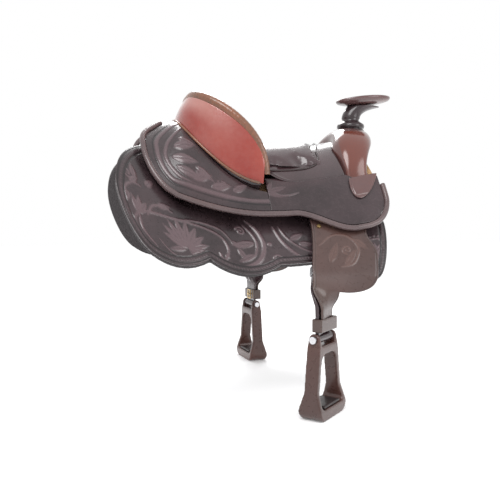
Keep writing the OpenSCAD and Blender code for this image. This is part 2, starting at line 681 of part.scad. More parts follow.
// Hobble strap round the leathers over the stirrup, with a buckle on its inner face
hobble_z = 28;
hobble_tall = 28;
hobble_th = 3.5;
hobble_gap = 1.2;
hobble_in = -strap_half - hobble_gap;
hobble_out = fender_d + leather_th + hobble_gap;
hobble_half = leather_w / 2 + 2 + hobble_gap;
module at_hobble(twist) { at_bolt(twist) translate([0, 0, hobble_z]) children(); }
module hobble_strap(twist) {
    color(leather) at_hobble(twist) difference() {
        translate([-hobble_half - hobble_th, -hobble_out - hobble_th, -hobble_tall / 2])
            cube([2 * (hobble_half + hobble_th), hobble_out - hobble_in + 2 * hobble_th, hobble_tall]);
        translate([-hobble_half, -hobble_out, -hobble_tall])
            cube([2 * hobble_half, hobble_out - hobble_in, 2 * hobble_tall]);
    }
}
module hobble_strap_right() { hobble_strap(twist_right); }
module hobble_strap_left() { left_of() hobble_strap(twist_left); }
pivot_r = 1.5;
buckle_h = 24;
buckle_w = 20;
buckle_off = -hobble_in + hobble_th + 3.4;
module hobble_buckle(twist) {
    color(steel) at_hobble(twist) translate([0, buckle_off, 0]) {
        translate([0, 0, -buckle_h / 2]) cylinder(r = pivot_r, h = buckle_h);
        for (s = [-1, 1]) translate([-2, -1.25, s * buckle_h / 2 - 1.25]) cube([buckle_w + 2, 2.5, 2.5]);
        translate([buckle_w - 2.5, -1.25, -buckle_h / 2]) cube([2.5, 2.5, buckle_h]);
    }
}
module hobble_buckle_right() { hobble_buckle(twist_right); }
module hobble_buckle_left() { left_of() hobble_buckle(twist_left); }
module hobble_tongue(twist) {
    color(steel) at_hobble(twist) translate([0, buckle_off, 0]) difference() {
        union() {
            translate([0, 0, -2]) cylinder(r = pivot_r + 1.3, h = 4);
            translate([0, 1.7, -1.2]) cube([buckle_w - 0.5, 2, 2.4]);
            translate([0, 0.6, -1.2]) cube([2.5, 2.4, 2.4]);
        }
        translate([0, 0, -5]) cylinder(r = pivot_r + run, h = 10);
    }
}
module hobble_tongue_right() { hobble_tongue(twist_right); }
module hobble_tongue_left() { left_of() hobble_tongue(twist_left); }

// Stirrup: a frame with a foot opening, a slot for the leather, a bolt and a tread
ear_half = leather_w / 2 + 2;
ear_th = 8;
// The ears end in a round under the hobble strap, so that the stirrup can swing
ear_top = 12.5;
foot_half = stirrup_w / 2 - 13;
foot_high = 108;
tread_th = 6;
// Half the width of a stirrup's sides, the way that the foot goes
arm_half = 15;
floor_below = -(stirrup_tall - 2);
foot_low = floor_below + 22;
module stirrup_outline() {
    hull() {
        translate([-stirrup_w / 2 + 22, floor_below + 22]) circle(r = 22);
        translate([stirrup_w / 2 - 22, floor_below + 22]) circle(r = 22);
        translate([-ear_half - ear_th + 8, 4]) circle(r = 8);
        translate([ear_half + ear_th - 8, 4]) circle(r = 8);
    }
}
module foot_outline() {
    hull() {
        translate([-foot_half + 10, foot_low + 10]) circle(r = 10);
        translate([foot_half - 10, foot_low + 10]) circle(r = 10);
        translate([-foot_half + 34, foot_low + foot_high - 20]) circle(r = 20);
        translate([foot_half - 34, foot_low + foot_high - 20]) circle(r = 20);
    }
}
module stirrup_side() {
    polygon([
        [-tread_w / 2, floor_below - 1], [tread_w / 2, floor_below - 1],
        [tread_w / 2, foot_low - 2], [arm_half, foot_low + 34], [arm_half, -20], [ear_top, 0],
        [-ear_top, 0], [-arm_half, -20], [-arm_half, foot_low + 34], [-tread_w / 2, foot_low - 2],
    ]);
    circle(r = ear_top);
}
module stirrup_frame(twist) {
    color(leather) at_bolt(twist) difference() {
        intersection() {
            rotate([90, 0, 0]) linear_extrude(tread_w + 4, center = true) difference() {
                stirrup_outline();
                foot_outline();
                translate([-ear_half, -loop_r - 4]) square([2 * ear_half, 60]);
            }
            rotate([90, 0, 90]) linear_extrude(stirrup_w + 4, center = true) stirrup_side();
        }
        bolt_bore(sleeve_r, stirrup_w + 40);
    }
}
module stirrup_frame_right() { stirrup_frame(twist_right); }
module stirrup_frame_left() { left_of() stirrup_frame(twist_left); }
bolt_half = ear_half + ear_th;
// The ears' faces lean out downwards, so the head and the nut stand off them
head_off = 2.4;
module stirrup_bolt(twist) {
    color(steel) at_bolt(twist) {
        bolt_bore(pin_r, 2 * (bolt_half + head_off) + 2);
        translate([-bolt_half - head_off - 5, 0, 0]) rotate([0, 90, 0]) cylinder(r = 7.5, h = 5);
        translate([bolt_half + head_off, 0, 0]) rotate([0, 90, 0]) cylinder(r = 7.5, h = 5, $fn = 6);
    }
}
module stirrup_bolt_right() { stirrup_bolt(twist_right); }
module stirrup_bolt_left() { left_of() stirrup_bolt(twist_left); }
module stirrup_tread(twist) {
    color(dark_leather) at_bolt(twist)
        translate([-foot_half + 12, -tread_w / 2 + 4, foot_low + gap])
            cube([2 * foot_half - 24, tread_w - 8, tread_th]);
}
module stirrup_tread_right() { stirrup_tread(twist_right); }
module stirrup_tread_left() { left_of() stirrup_tread(twist_left); }

tree_bar_left();
tree_bar_right();
fork();
cantle_board();
horn_core();
horn_cap_cover();
horn_neck_wrap();
horn_bolts();
ground_seat();
seat_foam();
seat_cover();
cantle_back();
cantle_roll();
fork_cover();
fork_flap_left();
fork_flap_right();
gullet_liner();
side_jockey_left();
side_jockey_right();
rear_jockey_left();
rear_jockey_right();
jockey_binding_left();
jockey_binding_right();
skirt_left();
skirt_right();
skirt_lining_left();
skirt_lining_right();
rigging_plate_left();
rigging_plate_right();
rigging_rivets_left();
rigging_rivets_right();
leather_loop_left();
leather_loop_right();
rigging_dee_left();
rigging_dee_right();
stirrup_leather_left();
stirrup_leather_right();
fender_left();
fender_right();
fender_rivets_left();
fender_rivets_right();
buckle_plate_left();
buckle_plate_right();
buckle_sleeve_left();
buckle_sleeve_right();
hobble_strap_left();
hobble_strap_right();
hobble_buckle_left();
hobble_buckle_right();
hobble_tongue_left();
hobble_tongue_right();
stirrup_frame_left();
stirrup_frame_right();
stirrup_bolt_left();
stirrup_bolt_right();
stirrup_tread_left();
stirrup_tread_right();
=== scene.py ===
"""Western saddle: carved leather, padded seat and studio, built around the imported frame.

Shapes are surfaces of two parameters, worked out in millimetres on the curved form that the
saddle fits: x along it, t outwards from its middle (0) to the skirts' lower edge (1), d off it.
"""
import json
import math

import bmesh
import bpy
import numpy as np
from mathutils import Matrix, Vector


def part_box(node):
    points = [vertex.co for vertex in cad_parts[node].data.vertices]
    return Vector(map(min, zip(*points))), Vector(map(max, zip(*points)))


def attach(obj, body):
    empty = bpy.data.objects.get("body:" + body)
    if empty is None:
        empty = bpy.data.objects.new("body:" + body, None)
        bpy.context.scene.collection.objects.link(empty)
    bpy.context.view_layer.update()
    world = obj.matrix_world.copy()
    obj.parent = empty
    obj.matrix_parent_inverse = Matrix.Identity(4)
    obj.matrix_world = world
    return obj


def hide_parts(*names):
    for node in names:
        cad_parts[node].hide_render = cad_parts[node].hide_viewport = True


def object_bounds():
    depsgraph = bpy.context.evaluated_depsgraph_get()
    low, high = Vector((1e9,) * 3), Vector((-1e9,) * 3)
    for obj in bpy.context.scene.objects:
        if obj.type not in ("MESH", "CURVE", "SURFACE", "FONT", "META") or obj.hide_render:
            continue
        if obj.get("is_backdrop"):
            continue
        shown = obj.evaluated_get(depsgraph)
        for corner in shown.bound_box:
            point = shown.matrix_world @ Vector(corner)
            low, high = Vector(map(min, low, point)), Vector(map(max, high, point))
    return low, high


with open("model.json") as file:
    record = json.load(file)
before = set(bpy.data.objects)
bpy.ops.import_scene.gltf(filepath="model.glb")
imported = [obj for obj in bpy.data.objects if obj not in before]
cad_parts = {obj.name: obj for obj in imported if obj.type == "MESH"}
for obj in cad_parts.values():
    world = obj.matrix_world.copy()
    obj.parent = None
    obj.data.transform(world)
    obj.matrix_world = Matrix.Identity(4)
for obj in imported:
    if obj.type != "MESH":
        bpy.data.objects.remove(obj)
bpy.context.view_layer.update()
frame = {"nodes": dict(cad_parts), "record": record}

bl_info = {
    "name": "Western Saddle",
    "version": (1, 0, 0),
    "blender": (4, 5, 0),
    "location": "View3D > Sidebar > Saddle",
    "description": "Carved leather, padded seat and studio for a western saddle",
    "category": "Add Mesh",
}

MM = 0.001
SIDES = ("right", "left")

# ---- The form and the pieces' outlines, in millimetres ----

REACH = -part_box("skirt_right")[0][0] / MM
DROP, HALF_SPAN, SIDE_POWER = 240.0, 235.0, 1.6
REAR_RISE, FRONT_RISE = 135.0, 50.0
FRONT = 0.87 * REACH
LINING_TOP, SKIRT_TOP, BAR_TOP = 11.0, 16.4, 35.8
JOCKEY_TH, LEATHER_TH = 5.0, 4.5
SEAT_HEIGHT = 72.0
FORK_X, FORK_LENGTH, FORK_WIDTH, FORK_HEIGHT, FORK_RAKE = 0.86 * REACH, 90.0, 250.0, 130.0, 34.0
ROLL_R = 10.0


def clamp(a):
    return np.clip(a, 0.0, 1.0)


def smooth(a):
    a = clamp(a)
    return a * a * (3 - 2 * a)


def mix(a, b, k):
    return a + (b - a) * k


def quarter(a):
    """A quarter round: 0 at 0 and 1 at 1, with an upright end."""
    return 1 - np.sqrt(np.maximum(0, 1 - np.asarray(a) ** 2))


def unit(v):
    return v / np.linalg.norm(v, axis=-1, keepdims=True)


def ridge(x):
    return np.where(x < 0, REAR_RISE, FRONT_RISE) * (x / REACH) ** 2


def fall(t):
    return DROP * np.abs(t) ** SIDE_POWER


def fall_slope(t):
    return DROP * SIDE_POWER * np.abs(t) ** (SIDE_POWER - 1)


def on_form(x, t, d):
    """Point d off the form, along the cross-section's outward normal."""
    x, t, d = np.broadcast_arrays(*(np.asarray(a, float) for a in (x, t, d)))
    n = unit(np.stack([fall_slope(t), np.full_like(t, HALF_SPAN)], -1))
    side = np.where(t < 0, 1.0, -1.0)
    y = side * (HALF_SPAN * np.abs(t) + n[..., 0] * d)
    return np.stack([x, y, ridge(x) - fall(t) + n[..., 1] * d], -1)


GIRTH_T = np.linspace(0, 1.2, 600)
GIRTH = np.concatenate([[0], np.cumsum(np.hypot(np.diff(GIRTH_T) * HALF_SPAN, np.diff(fall(GIRTH_T))))])


def girth(t):
    """Millimetres down the cross-section from its middle to t."""
    return np.interp(np.abs(t), GIRTH_T, GIRTH)


def lobe(x, middle, half, low):
    return low - 0.0625 * ((x - middle * REACH) / (half * REACH)) ** 2


def skirt_edge(x):
    """How far down the skirt reaches: three rounded lobes, and arches between them."""
    lobes = [lobe(x, -0.75, 0.25, 1.06), lobe(x, -0.20, 0.28, 0.98), lobe(x, 0.70, 0.12, 1.07)]
    return np.maximum.reduce([np.full_like(x, 0.9225)] + lobes)


def skirt_inner(x):
    return 0.03 + 0.14 * smooth((x / REACH - 0.42) / 0.4)


def skirt_back(v):
    upper = mix(-0.6 * REACH, -REACH, np.sin(np.radians(90 * clamp(v / 0.8))))
    return np.where(v < 0.8, upper, -REACH + 0.22 * REACH * quarter(clamp((v - 0.8) / 0.2)))


def skirt_front(v):
    upper = mix(1.03, 1, np.sin(np.radians(90 * clamp(v / 0.78))))
    return FRONT * np.where(v < 0.78, upper, 1 - 0.18 * quarter(clamp((v - 0.78) / 0.22)))


def skirt_place(u, v):
    """(x, t) at share u from back to front and share v from the middle to the edge."""
    x = mix(skirt_back(v), skirt_front(v), u)
    return x, mix(skirt_inner(x), skirt_edge(x), v)


def deck_edge_t(x):
    return 0.645 + 0.145 * smooth((x / REACH - 0.2) / 0.42)


def deck_d(x, t):
    """Distance of the seat's and jockeys' upper face off the form."""
    middle = 0.12 * REACH
    power = np.where(x > middle, 5, 3)
    edge = mix(22.4, 51.8, clamp(1 - (np.abs(x - middle) / (0.9 * REACH)) ** power))
    crest = (SEAT_HEIGHT + 22 * smooth((-x / REACH - 0.06) / 0.4)
             - 50 * smooth((-x / REACH - 0.5) / 0.3) - 3 * smooth(x / REACH))
    return mix(crest, edge, np.minimum(1, np.abs(t) / deck_edge_t(x)) ** 2)


def on_deck(x, t, up=0.0):
    return on_form(x, t, deck_d(x, t) + up)


# ---- Meshes from grids ----


def grid_faces(rows, places, at=0, flip=False, closed=False):
    """Quads of a grid of points, closed round its rows if asked."""
    i, j = np.meshgrid(np.arange(rows - 1), np.arange(places if closed else places - 1), indexing="ij")
    k = (j + 1) % places
    quads = np.stack([i * places + j, (i + 1) * places + j, (i + 1) * places + k, i * places + k], -1)
    quads = quads.reshape(-1, 4) + at
    return quads[:, ::-1] if flip else quads


def new_object(name, points, faces, relief=None):
    """A mesh object at the origin, from points in millimetres, with faces turned outwards."""
    mesh = bpy.data.meshes.new(name)
    mesh.from_pydata((points * MM).tolist(), [], [list(f) for f in faces])
    mesh.validate()
    if relief is not None:
        mesh.attributes.new("relief", "FLOAT", "POINT").data.foreach_set("value", relief.astype(np.float32))
    bm = bmesh.new()
    bm.from_mesh(mesh)
    bmesh.ops.recalc_face_normals(bm, faces=bm.faces)
    bm.to_mesh(mesh)
    bm.free()
    mesh.polygons.foreach_set("use_smooth", np.ones(len(mesh.polygons), bool))
    piece = bpy.data.objects.new(name, mesh)
    bpy.context.scene.collection.objects.link(piece)
    return piece


def slab(name, top, bottom, relief=None):
    """The closed sheet between two grids of points with the same rows and places."""
    rows, places = top.shape[:2]
    count = rows * places
    index = np.arange(count).reshape(rows, places)
    around = np.concatenate([index[:, 0], index[-1, 1:], index[-2::-1, -1], index[0, -2:0:-1]])
    ahead = np.roll(around, -1)
    wall = np.stack([around, around + count, ahead + count, ahead], -1)
    faces = np.concatenate([grid_faces(rows, places), grid_faces(rows, places, count, True), wall])
    points = np.concatenate([top.reshape(-1, 3), bottom.reshape(-1, 3)])
    value = None if relief is None else np.concatenate([relief.ravel(), np.zeros(count)])
    return new_object(name, points, faces, value)


def rings(name, loops, relief=None):
    """The closed solid through rings of points, with a fan over each end."""
    rows, places = loops.shape[:2]
    points = np.concatenate([loops.reshape(-1, 3), loops[0].mean(0)[None], loops[-1].mean(0)[None]])
    j = np.arange(places)
    k = (j + 1) % places
    first = np.stack([np.full(places, rows * places), k, j], -1)
    last = (rows - 1) * places
    end = np.stack([np.full(places, rows * places + 1), last + j, last + k], -1)
    faces = [list(f) for f in grid_faces(rows, places, closed=True)]
    faces += [list(f) for f in first] + [list(f) for f in end]
    value = None if relief is None else np.concatenate([relief.ravel(), [0, 0]])
    return new_object(name, points, faces, value)


def tube(path, radius, places=20):
    """Rings of that radius square to a path. The radius may vary along it and round it."""
    along = unit(np.gradient(path, axis=0))
    side = unit(np.cross(along, np.array([0.0, 0.0, 1.0]) + 1e-6))
    rise = np.cross(along, side)
    a = np.linspace(0, 2 * np.pi, places, endpoint=False)
    radius = np.broadcast_to(radius, (len(path), places))[..., None]
    return path[:, None] + radius * (np.cos(a)[None, :, None] * side[:, None]
                                     + np.sin(a)[None, :, None] * rise[:, None])


def even(path, count):
    """The path resampled at that many even steps along its length."""
    step = np.concatenate([[0], np.cumsum(np.linalg.norm(np.diff(path, axis=0), axis=1))])
    at = np.linspace(0, step[-1], count)
    return np.stack([np.interp(at, step, path[:, k]) for k in range(path.shape[1])], -1)


def mirrored(points, side):
    return points if side == "right" else points * np.array([1.0, -1.0, 1.0])


def finish_piece(piece, body, material, slot, *nodes):
    """Gives a piece its material and body, and hides the CAD nodes it stands for. The slot is not used."""
    piece.data.materials.clear()
    piece.data.materials.append(material)
    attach(piece, body)
    if nodes:
        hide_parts(*nodes)
    return piece


# ---- Carving: heights on the flattened leather, at (x, girth) in millimetres ----


def curve(points, count=60):
    """A smooth line through a few points, by Catmull-Rom blending."""
    p = np.asarray(points, float)
    p = np.concatenate([2 * p[:1] - p[1:2], p, 2 * p[-1:] - p[-2:-1]])
    span = len(p) - 3
    s = np.linspace(0, span - 1e-6, count)
    i = s.astype(int)
    f = (s - i)[:, None]
    a, b, c, d = p[i], p[i + 1], p[i + 2], p[i + 3]
    square, cube = 2 * a - 5 * b + 4 * c - d, 3 * b - a - 3 * c + d
    return 0.5 * (2 * b + (c - a) * f + square * f ** 2 + cube * f ** 3)


def nearest(px, py, line):
    """Distance of each place to a line of points, and how far along the line that is."""
    best = np.full(px.shape, 1e9)
    along = np.zeros(px.shape)
    run = 0.0
    for a, b in zip(line[:-1], line[1:]):
        length = max(1e-6, float(np.hypot(*(b - a))))
        k = clamp(((px - a[0]) * (b[0] - a[0]) + (py - a[1]) * (b[1] - a[1])) / length ** 2)
        gap = np.hypot(px - a[0] - k * (b[0] - a[0]), py - a[1] - k * (b[1] - a[1]))
        along = np.where(gap < best, run + k * length, along)
        best = np.minimum(best, gap)
        run += length
    return best, along


def stem(px, py, points, width, height):
    """A rounded raised line, which thins towards both ends."""
    line = curve(points)
    gap, along = nearest(px, py, line)
    total = np.hypot(*np.diff(line, axis=0).T).sum()
    w = width * (0.35 + 0.65 * np.sin(np.pi * clamp(along / total)) ** 0.5)
    return height * np.sqrt(clamp(1 - (gap / w) ** 2))


def leaf(px, py, x, y, angle, length, width, height):
    """A pointed leaf from (x, y) at an angle, domed, with a vein cut down its middle."""
    c, s = math.cos(math.radians(angle)), math.sin(math.radians(angle))
    u = ((px - x) * c + (py - y) * s) / length
    v = -(px - x) * s + (py - y) * c
    half = width * np.sin(np.pi * clamp(u) ** 0.75)
    inside = (u > 0) & (u < 1) & (np.abs(v) < half)
    dome = np.sqrt(clamp(1 - (v / np.maximum(half, 0.1)) ** 2))
    vein = 1 - 0.65 * np.exp(-(v / 1.1) ** 2)
    return np.where(inside, height * dome * vein, 0.0)


def whorl(px, py, x, y, radius, turns, width, height, start=0.0, hand=1):
    """A raised spiral that winds in to (x, y)."""
    k = np.linspace(0, 1, 40)
    a = math.radians(start) + hand * 2 * math.pi * turns * k
    line = np.stack([x + radius * (1 - 0.85 * k) * np.cos(a), y + radius * (1 - 0.85 * k) * np.sin(a)], -1)
    return height * np.sqrt(clamp(1 - (nearest(px, py, line)[0] / width) ** 2))


def bead(px, py, x, y, radius, height):
    return height * np.sqrt(clamp(1 - ((px - x) ** 2 + (py - y) ** 2) / radius ** 2))


def stamped_border(gap, along, height):
    """Two creased lines beside an edge, with a row of small stamps between them."""
    lines = -0.8 * height * (np.exp(-((gap - 4) / 0.9) ** 2) + np.exp(-((gap - 16) / 1.1) ** 2))
    stamp = clamp(1 - (((along % 7.0) - 3.5) ** 2 + (gap - 10) ** 2) / 5.3)
    return lines + 0.55 * height * np.sqrt(stamp)


def skirt_carving(px, py, depth):
    """The skirt's carving: a fan in a loop, a tulip, scrolls, and a flower in the front lobe."""
    h = [stem(px, py, [(-205, 368), (-262, 352), (-288, 322), (-268, 286), (-215, 262), (-150, 248),
                       (-105, 258), (-92, 290), (-112, 322), (-160, 344), (-205, 352)], 3.4, depth)]
    for angle, length in zip(range(190, 351, 20), (52, 58, 63, 68, 70, 68, 62, 56, 50)):
        h.append(leaf(px, py, -182, 316, angle, length, 8.6, 1.25 * depth))
    h += [leaf(px, py, -184, 318, 150, 44, 6, depth), leaf(px, py, -180, 318, 30, 50, 6, depth)]
    for angle, length in ((-90, 46), (-112, 42), (-68, 42)):
        h.append(leaf(px, py, -279, 300, angle, length, 7, 1.2 * depth))
    h += [stem(px, py, [(-279, 300), (-272, 330), (-246, 350)], 3, depth),
          stem(px, py, [(-304, 290), (-306, 258), (-290, 232), (-270, 226)], 2.6, depth),
          stem(px, py, [(-262, 290), (-250, 258), (-228, 244), (-206, 246)], 3, depth),
          leaf(px, py, -240, 250, -30, 34, 8, depth), leaf(px, py, -296, 236, -60, 34, 7, depth),
          stem(px, py, [(-45, 200), (-22, 224), (-10, 262), (-24, 300), (-60, 322), (-100, 324), (-112, 298)],
               5.5, 1.2 * depth),
          stem(px, py, [(-52, 214), (-34, 236), (-26, 262), (-36, 292), (-66, 310)], 3, depth),
          leaf(px, py, -30, 258, 165, 58, 10, depth), leaf(px, py, -34, 288, 150, 46, 8, depth),
          whorl(px, py, -59, 231, 11, 1.4, 2.4, depth, 200),
          bead(px, py, 3, 260, 6, depth), bead(px, py, -96, 302, 5.5, depth),
          whorl(px, py, 14, 296, 13, 1.3, 2.2, depth, 120, -1),
          stem(px, py, [(-30, 318), (-8, 326), (14, 316)], 2.4, depth),
          stem(px, py, [(17, 214), (34, 256), (62, 290), (96, 312)], 4, 1.1 * depth),
          stem(px, py, [(30, 214), (46, 246), (74, 274), (104, 290)], 2.6, depth),
          leaf(px, py, 52, 250, -20, 36, 9, depth), leaf(px, py, 70, 262, 10, 34, 8, depth),
          stem(px, py, [(-206, 262), (-176, 246), (-140, 236), (-104, 240), (-82, 262)], 2.6, depth),
          stem(px, py, [(-240, 330), (-214, 346), (-170, 350), (-130, 338)], 2.4, depth),
          stem(px, py, [(-84, 318), (-96, 340), (-124, 344)], 3, depth),
          leaf(px, py, -84, 262, 30, 30, 7, depth), leaf(px, py, -70, 276, 60, 34, 7, depth),
          leaf(px, py, -300, 262, 100, 34, 7, depth), leaf(px, py, -312, 292, 70, 34, 7, depth),
          stem(px, py, [(-318, 232), (-322, 262), (-312, 296), (-290, 330), (-262, 356)], 3, depth),
          leaf(px, py, -286, 214, -100, 34, 8, depth), leaf(px, py, -262, 216, -60, 32, 8, depth),
          whorl(px, py, -300, 214, 12, 1.3, 2.4, depth, 10)]
    for turn in range(8):
        h.append(leaf(px, py, 242, 316, 45 * turn, 27, 6.5, 1.2 * depth))
    around = np.arctan2(py - 316, px - 242)
    ring = np.hypot(px - 242, py - 316)
    h += [bead(px, py, 242, 316, 6, 1.6 * depth),
          depth * np.sqrt(clamp(1 - ((ring - 34) / 2.4) ** 2)),
          depth * np.sqrt(clamp(1 - ((ring - 41) / 3) ** 2)) * (0.5 + 0.5 * np.cos(26 * around))]
    return np.maximum.reduce(h)


def jockey_carving(px, py, depth):
    """Leaves that turn along the rear jockey inside a raised inner band."""
    band = [(-172, 40), (-206, 84), (-214, 126), (-190, 160), (-140, 172), (-80, 170)]
    h = [stem(px, py, band, 4.5, depth)]
    for x, y, angle, length, wide in (
            (-196, 96, -20, 52, 11), (-202, 122, -5, 60, 12), (-194, 142, 12, 58, 11),
            (-160, 158, -25, 50, 10), (-120, 164, -20, 52, 10), (-150, 128, 30, 46, 9),
            (-184, 74, 5, 40, 9), (-70, 160, -35, 44, 9)):
        h.append(leaf(px, py, x, y, angle, length, wide, 1.2 * depth))
    h += [whorl(px, py, -140, 142, 12, 1.3, 2.4, depth, 60),
          whorl(px, py, -92, 148, 11, 1.3, 2.4, depth, 200, -1)]
    return np.maximum.reduce(h)


def side_carving(px, py, depth):
    """A small spray of leaves low on the side jockey."""
    h = [leaf(px, py, 8, 152, angle, length, 7, depth)
         for angle, length in ((-150, 44), (-110, 30), (-60, 34), (-15, 52), (20, 40), (170, 50))]
    h += [whorl(px, py, -30, 156, 11, 1.3, 2.2, depth, 30),
          stem(px, py, [(14, 156), (50, 162), (84, 156)], 2.6, depth)]
    return np.maximum.reduce(h)


# ---- Shader maths as expressions ----


class Socket:
    """A node socket that can be added, subtracted, multiplied and divided."""

    def __init__(self, tree, socket):
        self.tree, self.socket = tree, socket

    def maths(self, operation, a, b):
        return self.tree.node("ShaderNodeMath", {"operation": operation}, {0: a, 1: b}, 0)

    def __add__(self, other): return self.maths("ADD", self, other)
    def __radd__(self, other): return self.maths("ADD", other, self)
    def __sub__(self, other): return self.maths("SUBTRACT", self, other)
    def __rsub__(self, other): return self.maths("SUBTRACT", other, self)
    def __mul__(self, other): return self.maths("MULTIPLY", self, other)
    def __rmul__(self, other): return self.maths("MULTIPLY", other, self)
    def __truediv__(self, other): return self.maths("DIVIDE", self, other)


class Tree:
    """One material's nodes."""

    def __init__(self, name):
        self.material = bpy.data.materials.new(name)
        self.material.use_nodes = True
        self.nodes, self.links = self.material.node_tree.nodes, self.material.node_tree.links
        self.shader = self.nodes["Principled BSDF"]

    def node(self, kind, settings, values, out=0):
        """A node of that type, its settings first, then its sockets' values or links."""
        made = self.nodes.new(kind)
        for key, value in settings.items():
            if key == "stops":
                ramp = made.color_ramp
                while len(ramp.elements) < len(value):
                    ramp.elements.new(0.5)
                for element, (place, colour) in zip(ramp.elements, value):
                    element.position, element.color = place, (*colour, 1)
            else:
                setattr(made, key, value)
        for key, value in values.items():
            self.put(made.inputs[key], value)
        return Socket(self, made.outputs[out])

    def put(self, target, value):
        if isinstance(value, Socket):
            self.links.new(value.socket, target)
        elif hasattr(value, "__len__") and len(value) == 3 and target.type == "RGBA":
            target.default_value = (*value, 1)
        else:
            target.default_value = value

    def place(self):
        return self.node("ShaderNodeTexCoord", {}, {}, "Object")

    def noise(self, scale, detail=4.0):
        values = {"Vector": self.place(), "Scale": scale, "Detail": detail}
        return self.node("ShaderNodeTexNoise", {}, values, 0)

    def blend(self, a, b, factor):
        return self.node("ShaderNodeMix", {"data_type": "RGBA"}, {0: factor, 6: a, 7: b}, 2)

    def clamped(self, value):
        return self.node("ShaderNodeClamp", {}, {0: value}, 0)


def leather(name, dark, light, tint, rough=0.3, coat=0.4, grain=900.0, pores=0.05):
    """Finished leather: colour rises with the carving's height, as painted highlight on the raised carving and
    painted shade in its hollows, and drifts in soft patches.
    """
    t = Tree(name)
    relief = t.node("ShaderNodeAttribute", {"attribute_name": "relief"}, {}, "Fac")
    patches = t.noise(9.0, 3.0)
    fine = t.noise(110.0, 5.0)
    # Painted light: the relief attribute lightens the raised carving as a painted highlight and darkens its
    # hollows as painted shade; on the cantle's back it holds a painted pink highlight. The soft patches are
    # the leather's own uneven tone.
    height = t.clamped(0.26 + relief * 0.46 + (patches - 0.5) * 0.8 + (fine - 0.5) * 0.2)
    base = t.blend(dark, light, height)
    stops = [(0.5, (0, 0, 0)), (0.72, (1, 1, 1))]
    stain = t.node("ShaderNodeValToRGB", {"stops": stops}, {0: t.noise(4.2, 2.0)}, 0)
    strength = t.node("ShaderNodeMath", {"operation": "MULTIPLY"}, {0: stain, 1: 0.55}, 0)
    t.put(t.shader.inputs["Base Color"], t.blend(base, tint, strength))
    t.put(t.shader.inputs["Roughness"], t.clamped(rough + (fine - 0.5) * 0.25 - relief * 0.03))
    t.shader.inputs["Coat Weight"].default_value = coat
    t.shader.inputs["Coat Roughness"].default_value = 0.16
    t.shader.inputs["Specular IOR Level"].default_value = 0.35
    cells = t.node("ShaderNodeTexVoronoi", {}, {"Vector": t.place(), "Scale": grain}, "Distance")
    values = {"Strength": pores, "Distance": 0.0006, "Height": cells + fine * 0.8}
    bump = t.node("ShaderNodeBump", {}, values, 0)
    t.put(t.shader.inputs["Normal"], bump)
    return t.material


def metal(name, colour, rough):
    """Worn metal, with roughness that drifts and fine scratches."""
    t = Tree(name)
    marks = t.noise(260.0, 6.0)
    t.put(t.shader.inputs["Base Color"], t.blend([c * 0.6 for c in colour], colour, t.clamped(0.4 + marks)))
    t.put(t.shader.inputs["Roughness"], t.clamped(rough + (marks - 0.5) * 0.3))
    t.shader.inputs["Metallic"].default_value = 1.0
    return t.material


def fibres(name, dark, light, scale):
    """Fleece, foam or wood grain: matt, with tufts or streaks at that scale."""
    t = Tree(name)
    tufts = t.noise(scale, 8.0)
    t.put(t.shader.inputs["Base Color"], t.blend(dark, light, t.clamped(tufts * 1.5 - 0.25)))
    t.shader.inputs["Roughness"].default_value = 0.9
    bump = t.node("ShaderNodeBump", {}, {"Strength": 0.8, "Distance": 0.002, "Height": tufts}, 0)
    t.put(t.shader.inputs["Normal"], bump)
    return t.material


# ---- Sizes and colours that a user would change ----


class SaddleLeather(bpy.types.PropertyGroup):
    """Colours and carving of the leather."""

    # The carving's raised parts take the brown as a painted highlight, and its hollows the shade as painted
    # shade; elsewhere they are the leather's own tones.
    brown: bpy.props.FloatVectorProperty(
        name="Brown", description="Light tone of the carved leather", subtype="COLOR", size=3,
        default=(0.092, 0.060, 0.066), min=0, max=1)
    shade: bpy.props.FloatVectorProperty(
        name="Shade", description="Dark tone in the carving's hollows", subtype="COLOR", size=3,
        default=(0.009, 0.005, 0.006), min=0, max=1)
    # Red's light tone is a painted highlight: the pale pink reflection high on the cantle's back, over the
    # leather's own deep red.
    red: bpy.props.FloatVectorProperty(
        name="Red", description="Light tone of the cantle's back", subtype="COLOR", size=3,
        default=(0.34, 0.150, 0.130), min=0, max=1)
    carving: bpy.props.FloatProperty(
        name="Carving", description="Height of the carving in millimetres", default=1.7, min=0, max=3)


class SaddleSeat(bpy.types.PropertyGroup):
    """Padding of the seat."""

    swell: bpy.props.FloatProperty(
        name="Swell", description="Most that the padding may rise", unit="LENGTH",
        default=0.009, min=0, max=0.02)
    voxel: bpy.props.FloatProperty(
        name="Voxel", description="Size of the padding's mesh", unit="LENGTH",
        default=0.005, min=0.003, max=0.01)


MATERIALS = {}


